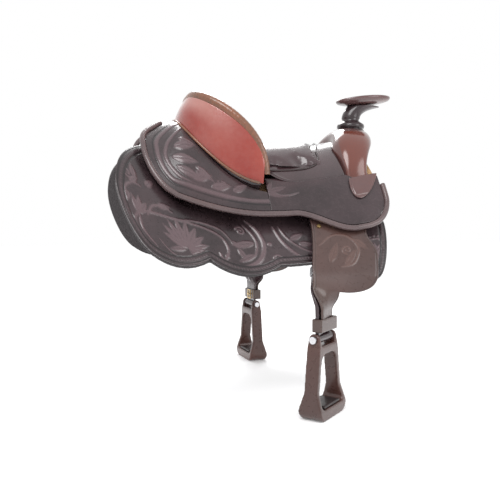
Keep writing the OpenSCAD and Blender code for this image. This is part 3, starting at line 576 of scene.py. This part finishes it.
def make_materials():
    p = bpy.context.scene.saddle_leather
    brown, shade, red = (list(getattr(p, k)) for k in ("brown", "shade", "red"))
    plum = (0.062, 0.028, 0.032)
    MATERIALS.update(
        carved=leather("carved_leather", shade, brown, plum),
        plain=leather("plain_leather", [c * 1.3 for c in shade], [c * 1.02 for c in brown], plum, 0.26),
        # The red leather's own colour is the deep red; its light tone is the painted pink highlight on the
        # cantle's back.
        red=leather("red_leather", (0.20, 0.010, 0.004), red, (0.30, 0.035, 0.010), 0.2, 0.5),
        seat=leather("seat_leather", shade, [c * 0.9 for c in brown], plum, 0.24, 0.7),
        roll=leather("roll_leather", (0.060, 0.050, 0.038), (0.46, 0.115, 0.035),
            (0.10, 0.070, 0.052), 0.3, 0.4),
        fork=leather("fork_leather", (0.080, 0.050, 0.052), (0.120, 0.030, 0.020),
            (0.110, 0.040, 0.032), 0.2, 0.6),
        fender=leather("fender_leather", (0.036, 0.019, 0.017), (0.120, 0.066, 0.056),
            (0.068, 0.056, 0.040), 0.3),
        stirrup=leather("stirrup_leather", (0.040, 0.018, 0.015), (0.115, 0.055, 0.045),
            (0.120, 0.040, 0.028), 0.3),
        binding=leather("binding_leather", (0.060, 0.040, 0.042), (0.160, 0.108, 0.106),
            (0.110, 0.060, 0.050), 0.28),
        dark=leather("dark_leather", (0.012, 0.008, 0.008), (0.05, 0.034, 0.034),
            (0.04, 0.02, 0.02), 0.45, 0.2),
        steel=metal("worn_steel", (0.60, 0.60, 0.62), 0.3),
        brass=metal("worn_brass", (0.62, 0.45, 0.20), 0.28),
        fleece=fibres("fleece", (0.016, 0.013, 0.014), (0.060, 0.052, 0.054), 420.0),
        foam=fibres("seat_foam", (0.5, 0.4, 0.2), (0.7, 0.6, 0.35), 500.0),
        wood=fibres("tree_wood", (0.20, 0.11, 0.05), (0.42, 0.27, 0.14), 60.0),
    )


def smoothed_copy(name, node, voxel, rounds):
    """A CAD node's own shape, merged, remeshed and rounded as stitched leather is."""
    copy = bpy.data.objects.new(name, frame["nodes"][node].data.copy())
    bpy.context.scene.collection.objects.link(copy)
    bm = bmesh.new()
    bm.from_mesh(copy.data)
    bmesh.ops.remove_doubles(bm, verts=bm.verts, dist=1e-5)
    bm.to_mesh(copy.data)
    bm.free()
    steps = (("REMESH", {"mode": "VOXEL", "voxel_size": voxel}), ("SMOOTH", {"iterations": rounds}))
    for kind, settings in steps:
        modifier = copy.modifiers.new(kind, kind)
        for key, value in settings.items():
            setattr(modifier, key, value)
    mesh = bpy.data.meshes.new_from_object(copy.evaluated_get(bpy.context.evaluated_depsgraph_get()))
    bpy.data.objects.remove(copy)
    mesh.name = name
    mesh.polygons.foreach_set("use_smooth", np.ones(len(mesh.polygons), bool))
    piece = bpy.data.objects.new(name, mesh)
    bpy.context.scene.collection.objects.link(piece)
    return piece


# ---- Operators: one for each group of pieces ----


class BuildSkirts(bpy.types.Operator):
    """Skirts with carved outer faces, over a fleece lining"""
    bl_idname = "saddle.skirts"
    bl_label = "Skirts"

    def execute(self, context):
        depth = context.scene.saddle_leather.carving
        u, v = np.meshgrid(np.linspace(0, 1, 300), np.sin(np.linspace(0, np.pi / 2, 150)), indexing="ij")
        x, t = skirt_place(u, v)
        px, py = x, girth(t)
        edge = np.concatenate([np.stack([px[0], py[0]], -1), np.stack([px[1:, -1], py[1:, -1]], -1),
                               np.stack([px[-1, -2::-1], py[-1, -2::-1]], -1)])
        gap, along = nearest(px, py, even(edge, 150))
        carving = skirt_carving(px, py, depth) * smooth((gap - 16) / 4)
        relief = carving + stamped_border(gap, along, depth)
        rounded = -2.2 * quarter(1 - clamp(gap / 3.0))
        base = on_form(x, t, LINING_TOP + 0.4)
        top = on_form(x, t, SKIRT_TOP + relief + rounded)
        wool_u, wool_v = u[::2, ::2], v[::2, ::2]
        wx, wt = skirt_place(wool_u, wool_v)
        rng = np.random.default_rng(7)
        tufts = rng.uniform(0, 1.6, wx.shape)
        for side in SIDES:
            skirt = slab(f"carved_skirt_{side}", mirrored(top, side), mirrored(base, side), relief)
            finish_piece(skirt, "saddle", MATERIALS["carved"], "tooled_leather", f"skirt_{side}")
            wool = slab(f"fleece_lining_{side}", mirrored(on_form(wx, wt, LINING_TOP), side),
                        mirrored(on_form(wx, wt, tufts), side))
            finish_piece(wool, "saddle", MATERIALS["fleece"], "fleece", f"skirt_lining_{side}")
        return {"FINISHED"}


SPLIT_X = -0.51 * REACH + 172 + 4


def jockey_back(v):
    upper = mix(-0.51 * REACH, -0.78 * REACH, np.sin(np.radians(90 * clamp(v / 0.6)))) - 18 * (1 - v / 0.6)
    return np.where(v < 0.6, upper, -0.78 * REACH + 0.18 * REACH * quarter(clamp((v - 0.6) / 0.4)))


def jockey_front(v):
    return np.where(v < 0.82, FRONT, FRONT - 0.16 * REACH * quarter(clamp((v - 0.82) / 0.18)))


def behind_cantle(t):
    """Outer curve of the cantle's foot, which the rear jockey stops short of."""
    a = np.arcsin(np.minimum(1, t / 0.52))
    start = -0.51 * REACH - 14
    return start + (SPLIT_X - start) * (1 - np.cos(a) ** 1.5)


class BuildJockeys(bpy.types.Operator):
    """Rear and side jockeys, with the rolled binding along their edge"""
    bl_idname = "saddle.jockeys"
    bl_label = "Jockeys"

    def rear(self, depth):
        u, v = np.meshgrid(np.linspace(0, 1, 130), np.linspace(0.015, 1, 150), indexing="ij")
        x = mix(jockey_back(v), behind_cantle(v * deck_edge_t(0.0)), u)
        t = v * deck_edge_t(x)
        px, py = x, girth(t)
        edge = np.concatenate([np.stack([px[0], py[0]], -1), np.stack([px[1:, -1], py[1:, -1]], -1)])
        gap = nearest(px, py, even(edge, 90))[0]
        band = 1.5 * np.sqrt(clamp(1 - ((gap - 22) / 5) ** 2)) - 0.8 * np.exp(-((gap - 14) / 1.4) ** 2)
        relief = jockey_carving(px, py, depth) * smooth((gap - 28) / 4) + band
        return on_deck(x, t, relief), on_deck(x, t, -JOCKEY_TH), relief

    def side(self, depth):
        u, w = np.meshgrid(np.linspace(0, 1, 200), np.linspace(0, 1, 80), indexing="ij")
        x0 = mix(SPLIT_X + 1, jockey_front(1.0), u)
        start = FORK_X - FORK_LENGTH / 2 - 4 - FORK_RAKE
        inner = mix(0.415, 0.5, smooth((x0 - start + 40) / 40)) / deck_edge_t(x0)
        v = mix(inner, 1, w)
        x = mix(SPLIT_X + 1, jockey_front(v), u)
        t = v * deck_edge_t(x)
        relief = side_carving(x, girth(t), 0.8 * depth)
        return on_deck(x, t, relief), on_deck(x, t, -JOCKEY_TH), relief

    def binding(self):
        """The jockeys' edge, moved out squarely over the leather."""
        v = np.linspace(0.13, 1, 40)
        front = np.linspace(1, 0.72, 30)
        run = np.linspace(jockey_back(1.0), jockey_front(1.0), 80)[1:-1]
        x = np.concatenate([jockey_back(v), run, jockey_front(front)])
        share = np.concatenate([v, np.ones_like(run), front])
        t = share * deck_edge_t(x)
        stretch = np.hypot(HALF_SPAN, fall_slope(t))
        step = np.stack([np.gradient(x), np.gradient(girth(t))], -1)
        out = unit(np.stack([-step[:, 1], step[:, 0]], -1)) * 7.3
        path = on_form(x + out[:, 0], t + out[:, 1] / stretch, deck_d(x, t) - JOCKEY_TH / 2)
        return even(path, 420)

    def execute(self, context):
        depth = 0.9 * context.scene.saddle_leather.carving
        rear, side_leather = self.rear(depth), self.side(depth)
        path = self.binding()
        wrap = 6.3 + 0.14 * np.sin(np.arange(len(path)) * 2.1)[:, None]
        for side in SIDES:
            for name, (top, base, relief), key, node, slot in (
                    ("carved_rear_jockey", rear, "carved", "rear_jockey", "tooled_leather"),
                    ("plain_side_jockey", side_leather, "plain", "side_jockey", "smooth_leather")):
                piece = slab(f"{name}_{side}", mirrored(top, side), mirrored(base, side), relief)
                finish_piece(piece, "saddle", MATERIALS[key], slot, f"{node}_{side}")
            roll = rings(f"rolled_binding_{side}", mirrored(tube(path, wrap, 18), side))
            finish_piece(roll, "saddle", MATERIALS["binding"], "smooth_leather", f"jockey_binding_{side}")
        return {"FINISHED"}


BASE_X = -0.51 * REACH
BASE_T = 0.47
DISH = 150.0
CANTLE_HALF = 153.0
CANTLE_TOP = 188.0


def sine(a):
    return np.sin(np.radians(a))


def cosine(a):
    return np.maximum(np.cos(np.radians(a)), 0)


def cantle_foot(a):
    return BASE_X + (DISH + 22) * (1 - cosine(a) ** 1.5), BASE_T * sine(a)


CANTLE_END = float(on_deck(*cantle_foot(np.float64(90.0)))[2]) + 10


def rim(a):
    """Middle of the roll, from the left end (-90) over the top (0) to the right end (90)."""
    return np.stack([-0.43 * REACH + DISH * (1 - cosine(a) ** 1.5),
                     -np.sign(a) * CANTLE_HALF * np.abs(sine(a)) ** 0.625,
                     CANTLE_END + (CANTLE_TOP - CANTLE_END) * cosine(a) ** 0.625], -1)


def wall_out(a):
    return np.stack([-cosine(a), -sine(a), 0 * a], -1)


def on_cantle(a, h, w):
    """h from the foot on the deck (0) to the rim (1), and w out of the wall's middle."""
    return mix(on_deck(*cantle_foot(a)), rim(a), h[..., None]) + w[..., None] * wall_out(a)


class BuildCantle(bpy.types.Operator):
    """Cantle's red back, its facing, its welt and the stamped roll"""
    bl_idname = "saddle.cantle"
    bl_label = "Cantle"

    def execute(self, context):
        a, h = np.meshgrid(np.linspace(-85, 85, 170), np.linspace(0.04, 0.93, 50), indexing="ij")
        bulge = 2.0 * np.sin(np.pi * clamp((h - 0.06) / 0.87))
        # Painted highlight: the back turns pale pink high up and towards its middle, a painted reflection over
        # the leather's own red.
        painted_highlight = 1.9 * smooth((h - 0.40) / 0.45) * smooth((62 - np.abs(a)) / 40)
        back = slab("cantle_red_back", on_cantle(a, h, 9.6 + bulge), on_cantle(a, h, 6.4 + 0 * h), painted_highlight)
        finish_piece(back, "saddle", MATERIALS["red"], "red_leather", "cantle_back")
        facing = slab("cantle_facing", on_cantle(a, h, -9.4 + 0 * h), on_cantle(a, h, -6.4 + 0 * h))
        finish_piece(facing, "saddle", MATERIALS["seat"], "seat_leather")
        k = np.linspace(-1, 1, 400)
        path = even(rim(89.2 * np.sign(k) * np.abs(k) ** 0.6), 520)
        turn = np.linspace(0, 2 * np.pi, 28, endpoint=False)[None]
        row = np.arange(len(path))[:, None]
        wave = np.cos(turn * 4 + 0.8 * np.sin(row * 0.42))
        stamp = 0.45 * np.maximum(0, np.sin(row * 0.85)) * np.maximum(0, wave)
        loops = tube(path, ROLL_R + stamp, 28)
        off = loops - path[:, None]
        middle = unit(path * [1.0, 1.0, 0.0] - [20.0, 0, 0])[:, None]
        inner = -(off * middle).sum(-1) / ROLL_R
        loops[..., 2] -= 9 * smooth(-off[..., 2] / ROLL_R) * smooth(0.6 - inner)
        roll = rings("stamped_roll", loops, 2.0 * smooth((inner - 0.1) / 0.3) + 0.4 * stamp)
        finish_piece(roll, "saddle", MATERIALS["roll"], "roll_leather", "cantle_roll")
        low = np.linspace(-80, 80, 220)
        foot = on_deck(*cantle_foot(low), 3.0) + 12.0 * wall_out(low)
        welt = rings("cantle_welt", tube(even(foot, 260), 3.0, 12))
        finish_piece(welt, "saddle", MATERIALS["roll"], "roll_leather")
        return {"FINISHED"}


class BuildSeat(bpy.types.Operator):
    """Seat leather with a padded cushion whose cloth is blown up by pressure"""
    bl_idname = "saddle.seat"
    bl_label = "Seat"

    def place(self, i, j, down):
        t = 0.445 * (2 * j - 1)
        a = np.degrees(np.arcsin(np.clip(t / 0.445, -1, 1)))
        back = cantle_foot(a)[0] + 16
        front = FORK_X - FORK_LENGTH / 2 + 3 - FORK_RAKE * smooth(np.abs(t) / 0.2)
        x = mix(back, front, i ** 1.3)
        bent = np.clip(a, -80, 80)
        high = rim(bent) - 14 * wall_out(bent) - np.array([0, 0, 14.0])
        climb = (1 - clamp(2.2 * i))[..., None] ** 2
        return mix(on_deck(x, t, 1.4), high, climb) - np.array([0, 0, 1.0]) * np.asarray(down)[..., None]

    def cushion(self, swell, voxel):
        i, j = np.meshgrid(np.linspace(0.10, 0.90, 40), np.linspace(0.10, 0.90, 40), indexing="ij")
        inset = np.minimum(np.minimum(i - 0.10, 0.90 - i), np.minimum(j - 0.10, 0.90 - j))
        crown = 5.0 * np.sqrt(clamp(inset / 0.1))
        pad = slab("seat_cushion", self.place(i, j, -crown), self.place(i, j, 0 * i + 3.0))
        remesh = pad.modifiers.new("remesh", "REMESH")
        remesh.mode, remesh.voxel_size = "VOXEL", voxel
        graph = bpy.context.evaluated_depsgraph_get()
        pad.data = bpy.data.meshes.new_from_object(pad.evaluated_get(graph))
        pad.modifiers.clear()
        rest = np.empty(len(pad.data.vertices) * 3)
        pad.data.vertices.foreach_get("co", rest)
        cloth = pad.modifiers.new("cloth", "CLOTH")
        cloth.settings.use_pressure = True
        cloth.settings.uniform_pressure_force = 4.0
        cloth.settings.effector_weights.gravity = 0.0
        scene = bpy.context.scene
        for step in range(1, 21):
            scene.frame_set(step)
        graph = bpy.context.evaluated_depsgraph_get()
        blown = bpy.data.meshes.new_from_object(pad.evaluated_get(graph))
        moved = np.empty_like(rest)
        blown.vertices.foreach_get("co", moved)
        shift = (moved - rest).reshape(-1, 3)
        size = np.linalg.norm(shift, axis=1, keepdims=True)
        shift *= np.minimum(1, swell / np.maximum(size, 1e-9))
        pad.modifiers.clear()
        pad.data.vertices.foreach_set("co", (rest.reshape(-1, 3) + shift).ravel())
        scene.frame_set(1)
        soft = pad.modifiers.new("soft", "SUBSURF")
        soft.levels = soft.render_levels = 1
        pad.data.polygons.foreach_set("use_smooth", np.ones(len(pad.data.polygons), bool))
        return pad

    def execute(self, context):
        p = context.scene.saddle_seat
        i, j = np.meshgrid(np.linspace(0, 1, 110), np.linspace(0, 1, 110), indexing="ij")
        sheet = slab("seat_leather_sheet", self.place(i, j, 0 * i), self.place(i, j, 0 * i + 4.0))
        finish_piece(sheet, "saddle", MATERIALS["seat"], "seat_leather", "seat_cover", "seat_foam")
        pad = self.cushion(p.swell, p.voxel)
        finish_piece(pad, "saddle", MATERIALS["seat"], "seat_leather")
        k = np.linspace(0, 2 * np.pi, 240, endpoint=False)
        c, s = np.cos(k), np.sin(k)
        si = 0.5 + 0.40 * np.sign(c) * np.abs(c) ** 0.4
        sj = 0.5 + 0.40 * np.sign(s) * np.abs(s) ** 0.4
        path = self.place(si, sj, -1.5 + 0 * k)
        path = even(np.concatenate([path, path[:1]]), 300)
        piping = rings("seat_piping", tube(path, 2.0, 10))
        finish_piece(piping, "saddle", MATERIALS["dark"], "seat_leather")
        return {"FINISHED"}


def arch_point(top_x, k, outer, grow):
    """A place over the fork's arch: k of the way from left (-1) to right (1), inside or outside."""
    a = np.radians(90 * np.abs(k))
    x = top_x - FORK_RAKE * np.sin(a) ** 2
    foot = on_form(x, np.full_like(x, 0.46 if outer else 0.185), BAR_TOP + 4.5)
    foot_y, foot_z = np.abs(foot[..., 1]), foot[..., 2]
    bow = np.sqrt(np.maximum(0, 1 - ((top_x - FORK_X) / (0.62 * FORK_LENGTH)) ** 2))
    wide = FORK_WIDTH / 2 * mix(0.8, 1, bow) if outer else foot_y
    high = mix(FORK_HEIGHT - 26, FORK_HEIGHT, bow) if outer else 52 + ridge(x)
    c = np.maximum(np.cos(a), 0)
    lift = foot_z + (high - foot_z) * c ** (0.8 if outer else 0.9)
    y = foot_y * np.sin(a) + (wide - foot_y) * np.sin(a) * c ** 0.35 * 1.35
    n = unit(np.stack([np.sin(a) + 0.001, c + 0.001], -1))
    side = np.where(k < 0, 1.0, -1.0)
    return np.stack([x, side * (y + n[..., 0] * grow), lift + n[..., 1] * grow], -1)


class BuildFork(bpy.types.Operator):
    """Fork in one rounded leather skin, with a drop-shaped flap on each side"""
    bl_idname = "saddle.fork"
    bl_label = "Fork"

    def execute(self, context):
        turn = np.linspace(0, 2 * np.pi, 64, endpoint=False)
        k, a = np.meshgrid(np.linspace(-1, 1, 160), turn, indexing="ij")
        c, s = np.cos(a), np.sin(a)
        slim = 1 - 0.4 * smooth((np.abs(k) - 0.5) / 0.5)
        top_x = FORK_X + (FORK_LENGTH / 2 + 8) * slim * np.sign(c) * np.abs(c) ** 0.45
        share = 0.5 + 0.5 * np.sign(s) * np.abs(s) ** 0.6
        skin = mix(arch_point(top_x, k, False, -3.8), arch_point(top_x, k, True, 3.4), share[..., None])
        low = smooth((np.abs(k) - 0.3) / 0.08)
        drop = 2.4 * smooth((0.62 - np.abs(c)) / 0.1) * smooth((s - 0.5) / 0.1) * low
        piece = rings("fork_skin", skin, drop)
        finish_piece(piece, "saddle", MATERIALS["fork"], "red_leather", "fork", "fork_cover", "gullet_liner")
        u, v = np.meshgrid(np.linspace(-1, 1, 50), np.linspace(0, 1, 60), indexing="ij")
        half = 0.4 * FORK_LENGTH * np.sqrt(np.maximum(0.004, 1 - v ** 1.6))
        x = FORK_X - FORK_RAKE - 20 * v + half * u
        t = mix(0.49, 0.64, v)
        edge = np.minimum(1 - np.abs(u), 1 - v)
        puff = 4.0 + 2.4 * np.sqrt(clamp(edge / 0.35)) - 1.0 * np.exp(-((edge - 0.12) / 0.03) ** 2)
        for side in SIDES:
            flap = slab(f"fork_drop_{side}", mirrored(on_deck(x, t, puff), side),
                        mirrored(on_deck(x, t, 1.0), side))
            finish_piece(flap, "saddle", MATERIALS["fork"], "red_leather", f"fork_flap_{side}")
        return {"FINISHED"}


class BuildHorn(bpy.types.Operator):
    """Horn: wrapped neck on a stacked ring, and a wide dished cap with a rolled rim"""
    bl_idname = "saddle.horn"
    bl_label = "Horn"

    def execute(self, context):
        x0, base, neck = FORK_X + 10, FORK_HEIGHT - 9, 22.0
        cap_x, cap_low = x0 + 36, 216.0 - 22
        a = np.linspace(0, 2 * np.pi, 96, endpoint=False)

        def oval(x, z, rx, ry):
            return np.stack([x + rx * np.cos(a), ry * np.sin(a), z + 0 * a], -1)

        def cap_ring(k, z):
            px, py = k * 75 * np.cos(a), k * 45 * np.sin(a)
            lift = 0.1 * px + 10 * (py / 45) ** 2 + 8 * (px / 75) ** 2
            return np.stack([px + cap_x, py, cap_low + z + lift], -1)

        profile = [(34, 0), (35, 3), (34.5, 7), (31, 9), (31, 10), (34.5, 12), (35.5, 17), (34, 22), (28, 26),
                   (24, 29), (21, 33)]
        loops = [oval(x0, base + z, r, r) for r, z in profile]
        for k in np.linspace(0.08, 1, 12):
            r = mix(22.5, 34.0, k ** 3)
            loops.append(oval(mix(x0, cap_x, k ** 2.2), mix(base + 34, cap_low - 2, k ** 0.9),
                              r * mix(1.05, 1.3, k ** 2), r * mix(1, 0.82, k ** 3)))
        neck_piece = rings("horn_neck_skin", np.array(loops))
        finish_piece(neck_piece, "saddle", MATERIALS["plain"], "smooth_leather",
                     "horn_core", "horn_neck_wrap")
        cap = [(0.05, 0), (0.4, 0), (0.75, 0.5), (0.92, 1.5), (0.98, 4), (1.0, 7), (0.985, 10.5), (0.95, 12),
               (0.90, 11.5), (0.86, 9.6), (0.80, 8.8), (0.5, 8), (0.05, 7.5)]
        piece = rings("horn_cap_skin", np.array([cap_ring(k, z) for k, z in cap]))
        finish_piece(piece, "saddle", MATERIALS["fork"], "red_leather", "horn_cap_cover")
        return {"FINISHED"}


LEG_X, LEG_BACK = 0.415 * REACH, 38.0
STRAP_OUT = HALF_SPAN + 42
BOLT_Z = -353.0
STRAP_HALF = LEATHER_TH / 2
# The frame itself has its fenders 4.6 out and its right stirrup turned 42, not these two values
FENDER_D = STRAP_HALF + 4.2
LEG_D = SKIRT_TOP + 10
TWIST = {"right": 48.0, "left": 85.0}


def leg_plumb(s):
    """The leather's line: down the form, then in a bend to the stirrup's bolt."""
    upper = on_form(LEG_X + 0 * s, mix(0.585, 1, np.minimum(1, 2 * s)), LEG_D)
    end = on_form(np.array(LEG_X), np.array(1.0), LEG_D)
    slope = np.array([0.0, -HALF_SPAN, -float(fall_slope(1.0))])
    bend = end + 45 * slope / np.linalg.norm(slope)
    low = np.array([LEG_X, -STRAP_OUT, BOLT_Z])
    k = (2 * s - 1)[..., None]
    lower = (1 - k) ** 2 * end + 2 * k * (1 - k) * bend + k ** 2 * low
    return np.where((s < 0.5)[..., None], upper, lower)


LEG_START = float(leg_plumb(np.array(0.0))[2])


def leg_point(s):
    p = leg_plumb(s)
    back = LEG_BACK * smooth((LEG_START - 25 - p[..., 2]) / (LEG_START - 70 - BOLT_Z))
    return p - np.stack([back, 0 * back, 0 * back], -1)


def on_leg(s, w, d, twist):
    """A place w forward across the leather and d out of it, turned by the twist lower down."""
    down = unit(leg_point(np.minimum(1, s + 0.01)) - leg_point(np.maximum(0, s - 0.01)))
    wide = unit(np.array([1.0, 0, 0]) - down[..., :1] * down)
    out = np.cross(wide, -down)
    a = np.radians(twist * smooth((s - 0.68) / 0.16))[..., None]
    lift = (ridge(LEG_X + w) - ridge(np.array(LEG_X))) * (1 - smooth((s - 0.3) / 0.3))
    p = leg_point(s) + w[..., None] * (np.cos(a) * wide - np.sin(a) * out)
    return p + np.asarray(d)[..., None] * (np.sin(a) * wide + np.cos(a) * out) + lift[..., None] * [0, 0, 1.0]


class BuildLegs(bpy.types.Operator):
    """Stirrup leathers, fenders with their rounded lobes, and hobble straps"""
    bl_idname = "saddle.legs"
    bl_label = "Legs"

    def execute(self, context):
        depth = context.scene.saddle_leather.carving
        u, s = np.meshgrid(np.linspace(0, 1, 110), np.linspace(0, 0.93, 240), indexing="ij")
        reach_s = smooth((s - 0.04) / 0.16)
        lobe_out = 62 + 23 * smooth((s - 0.26) / 0.14)
        rounded = np.sqrt(np.maximum(0, 1 - ((s - 0.46) / 0.23) ** 2))
        front = 31 + lobe_out * reach_s * np.where(s < 0.46, 1, rounded)
        back = -33 + 3 * smooth((s - 0.5) / 0.2)
        w = mix(back, front, u)
        gap = np.minimum(w - back, front - w)
        scroll_y = s * 430
        scroll = np.maximum.reduce([
            stem(w, scroll_y, [(-20, 150), (10, 118), (44, 120), (70, 152), (60, 190), (30, 204)], 3.4, depth),
            leaf(w, scroll_y, 6, 196, -75, 62, 10, depth), leaf(w, scroll_y, 40, 200, -60, 54, 9, depth),
            leaf(w, scroll_y, 60, 130, 40, 44, 8, depth),
            whorl(w, scroll_y, 44, 158, 12, 1.3, 2.4, depth, 90)])
        relief = 0.45 * scroll - 0.7 * np.exp(-((gap - 5) / 0.9) ** 2)
        edge = -1.6 * quarter(1 - clamp(gap / 2.4))
        q, r = np.meshgrid(np.linspace(-31, 31, 24), np.linspace(0, 1, 200), indexing="ij")
        for side in SIDES:
            body = f"fender_{side}"
            top = on_leg(s, w, FENDER_D + LEATHER_TH + relief + edge, TWIST[side])
            fender = slab(f"carved_fender_{side}", mirrored(top, side),
                          mirrored(on_leg(s, w, FENDER_D + 0 * s, TWIST[side]), side), relief)
            finish_piece(fender, body, MATERIALS["fender"], "fender_leather", f"fender_{side}")
            strap = slab(f"leather_strap_{side}",
                         mirrored(on_leg(r, q, STRAP_HALF + 0 * r, TWIST[side]), side),
                         mirrored(on_leg(r, q, -STRAP_HALF + 0 * r, TWIST[side]), side))
            finish_piece(strap, body, MATERIALS["plain"], "smooth_leather")
            hobble = smoothed_copy(f"hobble_band_{side}", f"hobble_strap_{side}", 0.0016, 4)
            finish_piece(hobble, body, MATERIALS["fender"], "fender_leather", f"hobble_strap_{side}")
        return {"FINISHED"}


class BuildStirrups(bpy.types.Operator):
    """Leather-covered stirrups with rounded edges, and their treads"""
    bl_idname = "saddle.stirrups"
    bl_label = "Stirrups"

    def execute(self, context):
        for side in SIDES:
            body = f"stirrup_{side}"
            shell = smoothed_copy(f"stirrup_shell_{side}", f"stirrup_frame_{side}", 0.0018, 10)
            finish_piece(shell, body, MATERIALS["stirrup"], "stirrup_leather_cover", f"stirrup_frame_{side}")
            tread = smoothed_copy(f"stirrup_pad_{side}", f"stirrup_tread_{side}", 0.0018, 5)
            finish_piece(tread, body, MATERIALS["dark"], "seat_leather", f"stirrup_tread_{side}")
        return {"FINISHED"}


FINISHES = {
    "wood": "wood", "steel": "steel", "brass": "brass", "foam": "foam", "fleece": "fleece",
    "red_leather": "red", "smooth_leather": "plain", "tooled_leather": "carved", "seat_leather": "seat",
    "roll_leather": "roll", "fender_leather": "fender", "stirrup_leather_cover": "stirrup",
}


class PaintFrame(bpy.types.Operator):
    """Gives every part of the frame that still shows the finish of its slot"""
    bl_idname = "saddle.paint"
    bl_label = "Paint the frame"

    def execute(self, context):
        slots = {p["node"]: p["material_slot"] for p in frame["record"]["subparts"]}
        for node, part in frame["nodes"].items():
            key = "plain" if node == "cantle_board" else FINISHES[slots[node]]
            part.data.materials.clear()
            part.data.materials.append(MATERIALS[key])
        return {"FINISHED"}


class BuildStudio(bpy.types.Operator):
    """Pale floor, soft lights, and the camera"""
    bl_idname = "saddle.studio"
    bl_label = "Studio"

    def light(self, name, place, target, size, power):
        data = bpy.data.lights.new(name, "AREA")
        data.shape, data.size, data.energy = "DISK", size, power
        lamp = bpy.data.objects.new(name, data)
        aim = np.array(target) - np.array(place)
        lamp.location = place
        lamp.rotation_euler = (math.atan2(math.hypot(aim[0], aim[1]), -aim[2]), 0, math.atan2(-aim[0], aim[1]))
        bpy.context.scene.collection.objects.link(lamp)

    def execute(self, context):
        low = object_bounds()[0][2] / MM
        floor = new_object("floor", np.array([[-9000, -9000, low], [9000, -9000, low],
                                              [9000, 9000, low], [-9000, 9000, low]]), [[0, 1, 2, 3]])
        t = Tree("floor_white")
        t.put(t.shader.inputs["Base Color"], (0.93, 0.93, 0.935))
        t.shader.inputs["Roughness"].default_value = 0.6
        t.shader.inputs["Emission Color"].default_value = (1, 1, 1, 1)
        t.shader.inputs["Emission Strength"].default_value = 0.12
        floor.data.materials.append(t.material)
        floor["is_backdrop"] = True
        self.light("key", (-0.9, -1.5, 1.8), (0, 0, -0.1), 1.5, 40)
        self.light("fill", (1.5, -1.6, 0.7), (0, 0, -0.1), 1.2, 12)
        self.light("rim", (0.3, 1.6, 1.6), (0, 0, 0), 1.2, 34)
        world = bpy.data.worlds.new("studio")
        world.use_nodes = True
        world.node_tree.nodes["Background"].inputs["Color"].default_value = (1, 1, 1, 1)
        world.node_tree.nodes["Background"].inputs["Strength"].default_value = 1.0
        scene = context.scene
        scene.world = world
        scene.view_settings.view_transform = "Standard"
        data = bpy.data.cameras.new("camera")
        data.lens, data.sensor_width = 43.2, 36
        data.shift_x, data.shift_y = 0.012, -0.056
        camera = bpy.data.objects.new("camera", data)
        turn = math.radians(15)
        camera.location = (-1.501 * math.sin(turn), -1.501 * math.cos(turn), -0.112)
        camera.rotation_euler = (math.pi / 2, 0, -turn)
        scene.collection.objects.link(camera)
        scene.camera = camera
        return {"FINISHED"}


STEPS = (PaintFrame, BuildSkirts, BuildJockeys, BuildCantle, BuildSeat, BuildFork, BuildHorn, BuildLegs,
         BuildStirrups, BuildStudio)


class SaddlePanel(bpy.types.Panel):
    """Lists the saddle's sizes, colours and steps"""
    bl_idname = "VIEW3D_PT_saddle"
    bl_label = "Western Saddle"
    bl_space_type = "VIEW_3D"
    bl_region_type = "UI"
    bl_category = "Saddle"

    def draw(self, context):
        for group in (context.scene.saddle_leather, context.scene.saddle_seat):
            for name in group.__annotations__:
                self.layout.prop(group, name)
        for step in STEPS:
            self.layout.operator(step.bl_idname)


CLASSES = (SaddleLeather, SaddleSeat, *STEPS, SaddlePanel)


def register():
    for cls in CLASSES:
        bpy.utils.register_class(cls)
    bpy.types.Scene.saddle_leather = bpy.props.PointerProperty(type=SaddleLeather)
    bpy.types.Scene.saddle_seat = bpy.props.PointerProperty(type=SaddleSeat)


def unregister():
    del bpy.types.Scene.saddle_leather
    del bpy.types.Scene.saddle_seat
    for cls in reversed(CLASSES):
        bpy.utils.unregister_class(cls)


def main():
    register()
    make_materials()
    for step in STEPS:
        group, name = step.bl_idname.split(".")
        getattr(getattr(bpy.ops, group), name)()


if __name__ == "__main__":
    main()
